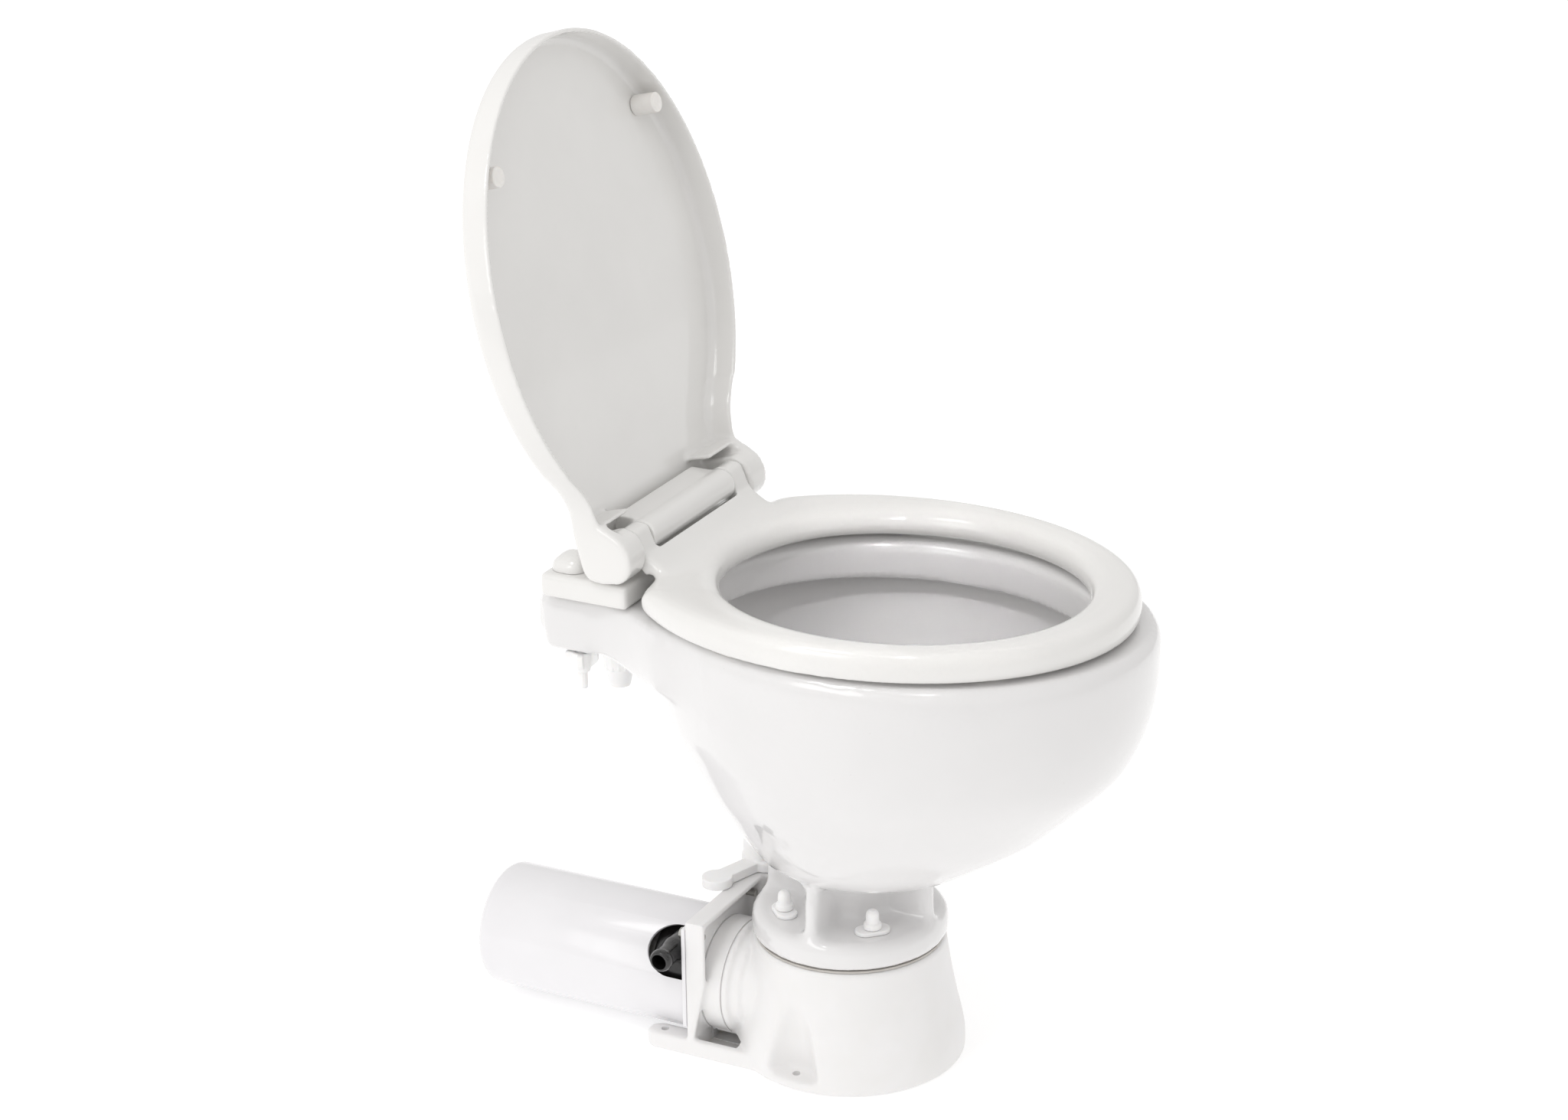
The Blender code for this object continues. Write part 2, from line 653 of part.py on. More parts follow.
def arc(centre_x, centre_y, radius, start_deg, end_deg, count):
    points = []
    for index in range(count):
        angle = math.radians(start_deg + (end_deg - start_deg) * index / (count - 1))
        x = centre_x + radius * math.cos(angle)
        y = centre_y + radius * math.sin(angle)
        points.append((x, y))
    return points


def ring_at(height, half_width, front_y, rear_y, count=RING_POINTS):
    """An oval ring at one height, from its half width and its front and rear."""
    centre = (front_y + rear_y) / 2.0
    half_length = (rear_y - front_y) / 2.0
    points = []
    for index in range(count):
        angle = WHOLE_TURN * index / count
        x = half_width * math.sin(angle)
        y = centre - half_length * math.cos(angle)
        points.append((x, y, height))
    return points


# The bowl's outer form: height, half width, front and rear as shares of the rim's own sizes
OUTER_SHARES = (
    (BODY_BOTTOM_SHARE, 0.350, 0.283, 0.320),
    (0.438, 0.420, 0.350, 0.380),
    (0.457, 0.490, 0.425, 0.440),
    (0.490, 0.555, 0.507, 0.495),
    (0.522, 0.602, 0.585, 0.560),
    (0.557, 0.650, 0.662, 0.620),
    (0.601, 0.714, 0.735, 0.687),
    (0.651, 0.776, 0.815, 0.753),
    (0.701, 0.840, 0.889, 0.807),
    (0.748, 0.895, 0.936, 0.853),
    (0.812, 0.945, 0.975, 0.907),
    (0.880, 0.986, 0.995, 0.973),
    (0.944, 1.000, 1.000, 1.000),
    (0.982, 0.994, 0.997, 0.995),
    (1.000, 0.966, 0.978, 0.970),
)


def bowl_outer():
    rings = []
    for height, width, front, rear in OUTER_SHARES:
        rings.append(
            ring_at(height * RIM_Z, width * RIM_HALF_WIDTH, front * RIM_FRONT_Y, rear * RIM_REAR_Y)
        )
    return loft("bowl_outer", rings)


# The basin under the rim: height share of the rim height, and shares of the wall's inner limits
BASIN_SHARES = (
    (BASIN_BOTTOM_SHARE, 0.21, 0.13, 0.19),
    (0.430, 0.26, 0.20, 0.22),
    (0.475, 0.40, 0.38, 0.38),
    (0.522, 0.55, 0.55, 0.53),
    (0.601, 0.70, 0.73, 0.68),
    (0.701, 0.85, 0.89, 0.83),
    (0.812, 0.95, 0.97, 0.93),
    (0.895, 1.00, 1.00, 1.00),
    (0.912, 0.97, 0.98, 0.97),
)


def basin():
    """The hollow below the rim, as a solid to be cut out."""
    half_width = RIM_HALF_WIDTH - CHINA_WALL
    front = RIM_FRONT_Y + CHINA_WALL
    rear = RIM_REAR_Y - CHINA_WALL
    rings = []
    for height, width, front_share, rear_share in BASIN_SHARES:
        rings.append(
            ring_at(height * RIM_Z, width * half_width, front_share * front, rear_share * rear)
        )
    return loft("basin", rings)


def rim_opening():
    front = RIM_INNER_CENTRE_Y - RIM_INNER_HALF_LENGTH
    rear = RIM_INNER_CENTRE_Y + RIM_INNER_HALF_LENGTH
    low = ring_at(RIM_LIP_Z - OVERRUN, RIM_INNER_HALF_WIDTH, front, rear)
    mid = ring_at(RIM_Z - RIM_EDGE_ROUND, RIM_INNER_HALF_WIDTH, front, rear)
    wide = RIM_INNER_HALF_WIDTH + RIM_EDGE_ROUND
    high = ring_at(RIM_Z + OVERRUN, wide, front - RIM_EDGE_ROUND, rear + RIM_EDGE_ROUND)
    return loft("rim_opening", [low, mid, high])


def rounded_section(y, half_width, low, high, radius):
    """A rounded rectangle across the deck at one distance back."""
    points = []
    for corner_x, corner_z, start in (
        (half_width - radius, high - radius, 0.0),
        (radius - half_width, high - radius, 90.0),
        (radius - half_width, low + radius, 180.0),
        (half_width - radius, low + radius, 270.0),
    ):
        for x, z in arc(corner_x, corner_z, radius, start, start + 90.0, CORNER_POINTS):
            points.append((x, y, z))
    return points


# The deck: distance back, half width, underside and top as shares of the deck's own sizes
DECK_SHARES = (
    (0.300, 1.400, 1.007, 0.999),
    (0.425, 1.370, 0.985, 1.000),
    (0.525, 1.220, 0.968, 1.000),
    (0.600, 1.110, 0.970, 1.000),
    (0.700, 1.035, 0.988, 1.000),
    (0.770, 1.010, 1.000, 1.000),
    (0.950, 1.000, 1.000, 1.000),
    (0.980, 0.965, 1.010, 0.998),
    (1.000, 0.900, 1.030, 0.986),
)


def deck():
    rings = []
    for back, width, under, top in DECK_SHARES:
        rings.append(
            rounded_section(
                back * DECK_REAR_Y, width * DECK_HALF_WIDTH, under * DECK_UNDER_Z, top * RIM_Z,
                DECK_ROUND,
            )
        )
    return loft("deck", rings)


def bolt_places():
    """The four foot bolts, on the diagonals between the foot's ribs."""
    places = []
    for quarter in range(4):
        angle = WHOLE_TURN * (2 * quarter + 1) / 8.0
        places.append((BOLT_PITCH_RADIUS * math.cos(angle), BOLT_PITCH_RADIUS * math.sin(angle)))
    return places


def bowl_foot():
    """The round foot flange, the outlet stem and its four ribs."""
    profile = [
        (0.0, LEDGE_Z),
        (FOOT_TOP_RADIUS, LEDGE_Z),
        ((FOOT_TOP_RADIUS + FOOT_RADIUS) / 2.0, LEDGE_Z - (FOOT_RADIUS - FOOT_TOP_RADIUS) / 2.0),
        (FOOT_RADIUS, LEDGE_Z - 2.0 * (FOOT_RADIUS - FOOT_TOP_RADIUS)),
        (FOOT_RADIUS, BOWL_BOTTOM_Z),
        (0.0, BOWL_BOTTOM_Z),
    ]
    foot = turned("foot", profile, FINE_STEPS)
    low = LEDGE_Z - OVERRUN
    high = RIB_TOP_Z
    profile = [
        (0.0, STEM_TOP_Z), (STEM_TOP_RADIUS, STEM_TOP_Z), (STEM_RADIUS, STEM_FLARE_Z),
        (STEM_RADIUS, low), (0.0, low),
    ]
    stem = turned("stem", profile)
    rib_x = block("rib_x", (-RIB_REACH, -RIB_HALF_WIDTH, low), (RIB_REACH, RIB_HALF_WIDTH, high))
    rib_y = block("rib_y", (-RIB_HALF_WIDTH, -RIB_REACH, low), (RIB_HALF_WIDTH, RIB_REACH, high))
    return joined(foot, stem, rib_x, rib_y)


def make_bowl(body):
    bowl = joined(bowl_outer(), deck(), bowl_foot())
    low = (0.0, 0.0, BOWL_BOTTOM_Z - OVERRUN)
    outlet = rod("outlet", OUTLET_RADIUS, low, (0.0, 0.0, BASIN_BOTTOM_Z + OVERRUN))
    bowl = cut(bowl, basin(), rim_opening(), outlet)
    for x, y in bolt_places():
        low = (x, y, BOWL_BOTTOM_Z - OVERRUN)
        bowl = cut(
            bowl,
            rod("hole", BOLT_RADIUS + BOLT_CLEARANCE, low, (x, y, LEDGE_Z + OVERRUN), SMALL_STEPS),
        )
    for side in (-1.0, 1.0):
        x = side * HINGE_BOLT_X
        low = (x, HINGE_BOLT_Y, DECK_UNDER_Z - OVERRUN)
        high = (x, HINGE_BOLT_Y, RIM_Z + OVERRUN)
        bowl = cut(bowl, rod("hole", HINGE_BOLT_HOLE, low, high, SMALL_STEPS))
    low = (0.0, INLET_Y, DECK_UNDER_Z - OVERRUN)
    high = (0.0, INLET_Y, DECK_UNDER_Z + INLET_DEPTH)
    bowl = cut(bowl, rod("hole", INLET_TAIL_RADIUS + GAP, low, high))
    return finish(bowl, "bowl", "china", body)


def make_gasket(body):
    low = BASE_TOP_Z + GAP
    profile = [
        (OUTLET_RADIUS, low + GASKET),
        (GASKET_RADIUS, low + GASKET),
        (GASKET_RADIUS, low),
        (OUTLET_RADIUS, low),
    ]
    gasket = turned("gasket", profile, FINE_STEPS, closed=True)
    for x, y in bolt_places():
        radius = BOLT_RADIUS + BOLT_CLEARANCE
        hole = rod("hole", radius, (x, y, low - OVERRUN), (x, y, low + GASKET + OVERRUN), SMALL_STEPS)
        gasket = cut(gasket, hole)
    return finish(gasket, "bowl_gasket", "rubber", body)


def make_foot_fixings(body):
    """Bolt, oval washer and domed cap nut at each corner of the foot."""
    washer_low = LEDGE_Z + GAP
    nut_low = washer_low + WASHER + GAP
    for number, (x, y) in enumerate(bolt_places(), start=1):
        bolt_low = BASE_TOP_Z - BOLT_DEPTH
        bolt = rod("bolt", BOLT_RADIUS, (x, y, bolt_low), (x, y, BOLT_TOP_Z), SMALL_STEPS)
        finish(bolt, f"bowl_bolt_{number}", "steel", body)
        slope = math.degrees(math.atan2(y, x))
        straight = WASHER_HALF_LENGTH - WASHER_HALF_WIDTH
        outline = arc(straight, 0.0, WASHER_HALF_WIDTH, -90.0, 90.0, CORNER_POINTS + 4)
        outline += arc(-straight, 0.0, WASHER_HALF_WIDTH, 90.0, 270.0, CORNER_POINTS + 4)
        washer = plate("washer", outline, washer_low, washer_low + WASHER)
        turn = Matrix.Rotation(math.radians(slope) + math.pi / 2.0, 4, "Z")
        washer = moved(washer, Matrix.Translation((x, y, 0.0)) @ turn)
        clear = BOLT_RADIUS + GAP
        low = (x, y, washer_low - OVERRUN)
        washer = cut(washer, rod("hole", clear, low, (x, y, nut_low + OVERRUN), SMALL_STEPS))
        finish(washer, f"foot_washer_{number}", "hinge_nylon", body)
        top = nut_low + NUT_HEIGHT
        shoulder = nut_low + NUT_FLANGE
        profile = [(0.0, top)]
        dome = arc(0.0, top - NUT_DOME_RADIUS, NUT_DOME_RADIUS, 0.0, 75.0, CORNER_POINTS)
        for radius, height in reversed(dome):
            profile.append((radius, height))
        profile += [(NUT_DOME_RADIUS, shoulder), (NUT_RADIUS, shoulder)]
        profile += [(NUT_RADIUS, nut_low), (0.0, nut_low)]
        nut = moved(turned("nut", profile, SMALL_STEPS), Matrix.Translation((x, y, 0.0)))
        low = (x, y, nut_low - OVERRUN)
        nut = cut(nut, rod("hole", clear, low, (x, y, BOLT_TOP_Z + GAP), SMALL_STEPS))
        finish(nut, f"cap_nut_{number}", "hinge_nylon", body)


def base_cone():
    """The flared round base, with its skirt."""
    profile = [(0.0, BASE_TOP_Z), (BASE_TOP_RADIUS, BASE_TOP_Z)]
    rise = BASE_TOP_Z - BASE_SKIRT
    spread = BASE_RADIUS - BASE_TOP_RADIUS
    for share, out_share in ((0.85, 0.10), (0.6, 0.32), (0.35, 0.60), (0.12, 0.90)):
        profile.append((BASE_TOP_RADIUS + out_share * spread, BASE_SKIRT + share * rise))
    profile += [(BASE_RADIUS, BASE_SKIRT), (BASE_RADIUS, 0.0), (0.0, 0.0)]
    return turned("cone", profile, FINE_STEPS)


def foot_slab():
    """The flat foot under the motor plate, with its two screw ears."""
    near = MOTOR_X - PLATE_HALF_WIDTH
    far = MOTOR_X + PLATE_HALF_WIDTH
    riser_far = RISER_X + RISER_RADIUS
    outline = [
        (near, SLAB_START_Y),
        (near, EAR_END_Y - EAR_WIDTH / 3.0),
        (near + EAR_WIDTH / 4.0, EAR_END_Y),
        (near + EAR_WIDTH - EAR_WIDTH / 4.0, EAR_END_Y),
        (near + EAR_WIDTH, EAR_END_Y - EAR_WIDTH / 3.0),
        (near + EAR_WIDTH, PLATE_REAR_Y),
        (far - EAR_WIDTH, PLATE_REAR_Y),
        (far - EAR_WIDTH, EAR_END_Y - EAR_WIDTH / 3.0),
        (far - EAR_WIDTH + EAR_WIDTH / 4.0, EAR_END_Y),
        (far - EAR_WIDTH / 4.0, EAR_END_Y),
        (far, EAR_END_Y - EAR_WIDTH / 3.0),
        (far, PLATE_REAR_Y),
        (riser_far, PLATE_REAR_Y),
        (riser_far, SLAB_START_Y),
    ]
    return plate("foot_slab", outline, 0.0, FOOT_THICKNESS)


def slab_pocket():
    """The hollow in the foot below the macerator housing."""
    near = MOTOR_X - PLATE_HALF_WIDTH + PLATE_RIM_WALL
    low = (near, SLAB_POCKET_START_Y, SLAB_POCKET_FLOOR)
    high = (near + SLAB_POCKET_WIDTH, PLATE_REAR_Y - PLATE_WALL, FOOT_THICKNESS + OVERRUN)
    return block("slab_pocket", low, high)


def motor_plate():
    """The upright plate that the motor bolts to, with a rim towards the bowl."""
    near = MOTOR_X - PLATE_HALF_WIDTH
    far = MOTOR_X + PLATE_HALF_WIDTH
    front = PLATE_REAR_Y - PLATE_RIM_DEPTH
    wall_front = PLATE_REAR_Y - PLATE_WALL
    low = FOOT_THICKNESS - OVERRUN
    whole = block("whole", (near, front, low), (far, PLATE_REAR_Y, PLATE_TOP_Z))
    pocket = block(
        "pocket", (near + PLATE_RIM_WALL, front - OVERRUN, FOOT_THICKNESS),
        (far - PLATE_RIM_WALL, wall_front, PLATE_TOP_Z - PLATE_RIM_WALL),
    )
    panel = cut(whole, pocket)
    # The rim is deep at the top and tapers towards the foot
    wedge = plate(
        "wedge",
        [
            (front - OVERRUN, FOOT_THICKNESS), (wall_front, FOOT_THICKNESS),
            (front, (PLATE_TOP_Z + FOOT_THICKNESS) / 2.0), (front - OVERRUN, PLATE_TOP_Z),
        ],
        near - OVERRUN, far + OVERRUN,
    )
    swap = Matrix(((0.0, 0.0, 1.0, 0.0), (1.0, 0.0, 0.0, 0.0), (0.0, 1.0, 0.0, 0.0), (0.0, 0.0, 0.0, 1.0)))
    return cut(panel, moved(wedge, swap))


def flute_cutters():
    """A tapering hollow over each side lug, which lets a screwdriver reach the screw."""
    cutters = []
    for side in (-1.0, 1.0):
        low = (side * FLUTE_X, LUG_HOLE_Y, LUG_FLOOR)
        high = (side * FLUTE_X, LUG_HOLE_Y, BASE_TOP_Z + OVERRUN)
        cutters.append(rod("flute", FLUTE_RADIUS, low, high, ROUND_STEPS, FLUTE_TOP_RADIUS))
    return cutters


def foot_hole_places():
    near = MOTOR_X - PLATE_HALF_WIDTH + EAR_WIDTH / 2.0
    far = MOTOR_X + PLATE_HALF_WIDTH - EAR_WIDTH / 2.0
    return [(-LUG_HOLE_X, LUG_HOLE_Y), (LUG_HOLE_X, LUG_HOLE_Y), (near, EAR_HOLE_Y), (far, EAR_HOLE_Y)]


def make_base(body):
    x = MOTOR_X
    z = MOTOR_Z
    base = base_cone()
    base = cut(base, *flute_cutters())
    base = joined(base, foot_slab(), motor_plate())
    base = cut(base, slab_pocket())
    housing = rod(
        "housing", HOUSING_RADIUS, (x, HOUSING_START_Y, z), (x, PLATE_REAR_Y - PLATE_WALL / 2.0, z),
        FINE_STEPS,
    )
    step = rod(
        "step", HOUSING_STEP_RADIUS, (x, HOUSING_STEP_Y, z), (x, PLATE_REAR_Y - PLATE_WALL, z),
        FINE_STEPS,
    )
    neck = rod("neck", NECK_RADIUS, (x, 0.0, z), (x, HOUSING_START_Y, z), FINE_STEPS)
    riser = rod("riser", RISER_RADIUS, (RISER_X, RISER_Y, 0.0), (RISER_X, RISER_Y, PLATE_TOP_Z))
    link_low = (MOTOR_X, RISER_Y - RISER_RADIUS, MOTOR_Z)
    link_high = (RISER_X, RISER_Y, MOTOR_Z + RISER_RADIUS)
    base = joined(base, housing, step, neck, riser, block("link", link_low, link_high))
    mouth = rod("mouth", BASE_MOUTH_RADIUS, (0.0, 0.0, BASE_FLOOR), (0.0, 0.0, BASE_TOP_Z + OVERRUN))
    intake = rod("intake", NECK_BORE, (x, NECK_START_Y, z), (x, HOUSING_BORE_START_Y + OVERRUN, z))
    bore = rod("bore", HOUSING_BORE, (x, HOUSING_BORE_START_Y, z), (x, PLATE_REAR_Y + OVERRUN, z), FINE_STEPS)
    duct = rod("duct", RISER_BORE, (RISER_X, RISER_Y, MOTOR_Z), (RISER_X, RISER_Y, PLATE_TOP_Z + OVERRUN))
    passage_z = MOTOR_Z + RISER_RADIUS / 2.0
    passage_y = RISER_Y - RISER_RADIUS / 2.0
    passage = rod(
        "passage", RISER_RADIUS / 3.0, (x, passage_y, passage_z), (RISER_X, passage_y, passage_z),
        SMALL_STEPS,
    )
    base = cut(base, mouth, intake, bore, duct, passage)
    for hole_x, hole_y in foot_hole_places():
        low = (hole_x, hole_y, -OVERRUN)
        high = (hole_x, hole_y, FOOT_THICKNESS + OVERRUN)
        base = cut(base, rod("hole", SCREW_HOLE_RADIUS, low, high, SMALL_STEPS))
    for hole_x, hole_y in bolt_places():
        low = (hole_x, hole_y, BASE_TOP_Z - BOLT_DEPTH - GAP)
        high = (hole_x, hole_y, BASE_TOP_Z + OVERRUN)
        base = cut(base, rod("hole", BOLT_RADIUS + GAP, low, high, SMALL_STEPS))
    half = ORING_WIDTH / 2.0
    groove = turned(
        "groove",
        [
            (ORING_RADIUS - half - GAP, OVERRUN), (ORING_RADIUS + half + GAP, OVERRUN),
            (ORING_RADIUS + half + GAP, -ORING_DEPTH), (ORING_RADIUS - half - GAP, -ORING_DEPTH),
        ],
        FINE_STEPS, closed=True,
    )
    groove = moved(along_y(groove), Matrix.Translation((0.0, PLATE_REAR_Y, 0.0)))
    base = cut(base, groove)
    for hole_x, hole_z in flange_screw_places():
        low = (hole_x, PLATE_REAR_Y - FLANGE_SCREW_LENGTH, hole_z)
        high = (hole_x, PLATE_REAR_Y + OVERRUN, hole_z)
        base = cut(base, rod("hole", FLANGE_SCREW_RADIUS + GAP, low, high, SMALL_STEPS))
    return finish(base, "pump_base", "nylon", body)


def flange_screw_places():
    reach = MOTOR_FLANGE_HALF_WIDTH - FLANGE_SCREW_INSET
    height = MOTOR_FLANGE_TOP_Z - FLANGE_SCREW_INSET
    return [(MOTOR_X - reach, height), (MOTOR_X + reach, height)]


def make_flange_parts(body):
    half = ORING_WIDTH / 2.0
    ring = turned(
        "ring",
        [
            (ORING_RADIUS - half, -GAP), (ORING_RADIUS + half, -GAP),
            (ORING_RADIUS + half, -ORING_DEPTH + GAP), (ORING_RADIUS - half, -ORING_DEPTH + GAP),
        ],
        FINE_STEPS, closed=True,
    )
    ring = moved(along_y(ring), Matrix.Translation((0.0, PLATE_REAR_Y + GAP, 0.0)))
    finish(ring, "housing_seal_ring", "rubber", body)
    half_width = MOTOR_FLANGE_HALF_WIDTH
    drop = MOTOR_FLANGE_LOW_Z - FOOT_THICKNESS
    outline = [
        (MOTOR_X - half_width, MOTOR_FLANGE_TOP_Z),
        (MOTOR_X - half_width, MOTOR_FLANGE_LOW_Z),
        (MOTOR_X - half_width + EAR_WIDTH, FOOT_THICKNESS + GAP),
        (MOTOR_X - half_width + EAR_WIDTH + drop, MOTOR_Z - CAN_RADIUS),
        (MOTOR_X + half_width - EAR_WIDTH - drop, MOTOR_Z - CAN_RADIUS),
        (MOTOR_X + half_width - EAR_WIDTH, FOOT_THICKNESS + GAP),
        (MOTOR_X + half_width, MOTOR_FLANGE_LOW_Z),
        (MOTOR_X + half_width, MOTOR_FLANGE_TOP_Z),
    ]
    flange = plate("flange", outline, -MOTOR_FLANGE_Y - MOTOR_FLANGE, -MOTOR_FLANGE_Y)
    flange = moved(flange, Matrix.Rotation(math.pi / 2.0, 4, "X"))
    x = MOTOR_X
    z = MOTOR_Z
    low = (x, MOTOR_FLANGE_Y - OVERRUN, z)
    high = (x, MOTOR_FLANGE_Y + MOTOR_FLANGE + OVERRUN, z)
    flange = cut(flange, rod("hole", SEAL_RADIUS + GAP, low, high))
    for number, (hole_x, hole_z) in enumerate(flange_screw_places(), start=1):
        low = (hole_x, MOTOR_FLANGE_Y - OVERRUN, hole_z)
        high = (hole_x, MOTOR_FLANGE_Y + MOTOR_FLANGE + OVERRUN, hole_z)
        flange = cut(flange, rod("hole", FLANGE_SCREW_RADIUS + GAP, low, high, SMALL_STEPS))
        under = MOTOR_FLANGE_Y + MOTOR_FLANGE + GAP
        shank = rod(
            "shank", FLANGE_SCREW_RADIUS, (hole_x, PLATE_REAR_Y - FLANGE_SCREW_LENGTH + GAP, hole_z),
            (hole_x, under + FLANGE_SCREW_HEAD / 2.0, hole_z), SMALL_STEPS,
        )
        head = rod(
            "head", FLANGE_SCREW_HEAD_RADIUS, (hole_x, under, hole_z),
            (hole_x, under + FLANGE_SCREW_HEAD, hole_z), SMALL_STEPS,
        )
        finish(joined(shank, head), f"flange_screw_{number}", "steel", body)
    finish(flange, "motor_flange", "painted_steel", body)
    seal_end = MOTOR_FLANGE_Y + MOTOR_FLANGE
    seal = rod("seal", SEAL_RADIUS, (x, seal_end - SEAL_LENGTH, z), (x, seal_end, z))
    seal = cut(
        seal,
        rod(
            "hole", SHAFT_RADIUS + GAP, (x, seal_end - SEAL_LENGTH - OVERRUN, z),
            (x, seal_end + OVERRUN, z), SMALL_STEPS,
        ),
    )
    finish(seal, "shaft_seal", "rubber", body)
    plate_y = HOUSING_BORE_START_Y + GAP
    wear = rod("wear", HOUSING_BORE - GAP, (x, plate_y, z), (x, plate_y + WEAR_PLATE, z), FINE_STEPS)
    wear = cut(
        wear,
        rod("hole", WEAR_PLATE_BORE, (x, plate_y - OVERRUN, z), (x, plate_y + WEAR_PLATE + OVERRUN, z)),
    )
    finish(wear, "wear_plate", "steel", body)


def port_line(side):
    """The two ends of one port's axis: side -1 faces the front view, +1 the other side."""
    reach = PORT_REACH if side < 0.0 else FAR_PORT_REACH
    start = (MOTOR_X, PORT_Y, PORT_Z)
    end = (MOTOR_X + side * reach, PORT_Y, PORT_Z)
    return start, end


def cutout(side, low, high):
    """A round-ended slot in the motor cover, which the pump port passes through."""
    half = CUTOUT_HALF_WIDTH
    start = CAN_START_Y - OVERRUN
    centre = CUTOUT_END_Y - half
    outline = [(half, start), (half, centre)]
    outline += arc(0.0, centre, half, 0.0, 180.0, SMALL_STEPS)[1:-1]
    outline += [(-half, centre), (-half, start)]
    slot = plate("slot", outline, low, high)
    turn = Matrix.Rotation(side * (math.pi / 2.0 - CUTOUT_ANGLE), 4, "Y")
    return moved(slot, Matrix.Translation(MOTOR_AXIS) @ turn)


def make_motor(body):
    length = CAN_END_Y - CAN_START_Y
    rounding = arc(
        CAN_RADIUS - CAN_END_ROUND, length - CAN_END_ROUND, CAN_END_ROUND, 90.0, 0.0, CORNER_POINTS,
    )
    outer = turned("outer", [(0.0, length)] + rounding + [(CAN_RADIUS, 0.0), (0.0, 0.0)], FINE_STEPS)
    inner = rod(
        "inner", CAN_RADIUS - CAN_WALL, (0.0, 0.0, -OVERRUN), (0.0, 0.0, length - CAN_WALL),
        FINE_STEPS,
    )
    trim = CAN_END_ROUND / 2.0
    inner = bevelled(inner, trim, 2, lambda a, b: min(a.z, b.z) > length / 2.0)
    cover = moved(along_y(cut(outer, inner)), Matrix.Translation((0.0, CAN_START_Y, 0.0)))
    cover = cut(cover, cutout(-1.0, 0.0, CAN_RADIUS + OVERRUN), cutout(1.0, 0.0, CAN_RADIUS + OVERRUN))
    finish(cover, "motor_cover", "painted_steel", body)
    x = MOTOR_X
    z = MOTOR_Z
    motor_start = CAN_START_Y + PUMP_LENGTH + GAP
    motor_end = motor_start + MOTOR_LENGTH
    motor = rod("motor", MOTOR_RADIUS, (x, motor_start, z), (x, motor_end, z))
    shaft_room = motor_start + SHAFT_IN_MOTOR + GAP
    motor = cut(
        motor,
        rod("hole", SHAFT_RADIUS + GAP, (x, motor_start - OVERRUN, z), (x, shaft_room, z), SMALL_STEPS),
    )
    finish(motor, "motor_body", "steel", body)


def make_pump(body):
    x = MOTOR_X
    z = MOTOR_Z
    start = CAN_START_Y
    end = start + PUMP_LENGTH
    pump = rod("pump", PUMP_RADIUS, (x, start, z), (x, end, z))
    near = (x - PORT_COLLAR_REACH, PORT_Y, PORT_Z)
    far = (x + FAR_COLLAR_REACH, PORT_Y, PORT_Z)
    pump = joined(pump, rod("collar", PORT_COLLAR_RADIUS, near, far))
    pump = joined(pump, rod("port", PORT_RADIUS, port_line(-1.0)[1], port_line(1.0)[1]))
    chamber_low = (x, start + PUMP_CHAMBER_START, z)
    chamber_high = (x, start + PUMP_CHAMBER_START + PUMP_CHAMBER_LENGTH, z)
    chamber = rod("chamber", PUMP_CHAMBER_RADIUS, chamber_low, chamber_high)
    bore = rod("bore", SHAFT_RADIUS + GAP, (x, start - OVERRUN, z), (x, end + OVERRUN, z), SMALL_STEPS)
    pump = cut(pump, chamber, bore)
    for side in (-1.0, 1.0):
        low, high = port_line(side)
        outside = (high[0] + side * OVERRUN, PORT_Y, PORT_Z)
        inside = (x + side * PUMP_CHAMBER_RADIUS / 2.0, PORT_Y, PORT_Z)
        drop = (inside[0], PORT_Y, z)
        pump = cut(pump, rod("way", PORT_BORE, inside, outside, SMALL_STEPS))
        pump = cut(
            pump,
            rod(
                "way", PORT_BORE - GAP, (drop[0], PORT_Y, z + PORT_BORE), (drop[0], PORT_Y, PORT_Z),
                SMALL_STEPS,
            ),
        )
    finish(pump, "flush_pump_housing", "black_plastic", body)


def vane_rotor(name, radius, hub_radius, back, depth, start_y):
    """A disc with straight vanes in front of it, on a hub, along the motor axis."""
    x = MOTOR_X
    z = MOTOR_Z
    end_y = start_y + depth
    rotor = rod("hub", hub_radius, (x, start_y, z), (x, end_y, z))
    rotor = joined(rotor, rod("disc", radius, (x, end_y - back, z), (x, end_y, z)))
    half = VANE_THICKNESS / 2.0
    for index in range(VANE_COUNT):
        vane = block(
            "vane", (hub_radius / 2.0, start_y + GAP, -half), (radius - half, end_y - back / 2.0, half)
        )
        turn = Matrix.Rotation(WHOLE_TURN * index / VANE_COUNT, 4, "Y")
        rotor = joined(rotor, moved(vane, Matrix.Translation(MOTOR_AXIS) @ turn))
    hole = rod("hole", SHAFT_RADIUS + GAP, (x, start_y - OVERRUN, z), (x, end_y + OVERRUN, z), SMALL_STEPS)
    rotor = cut(rotor, hole)
    rotor.name = name
    return rotor


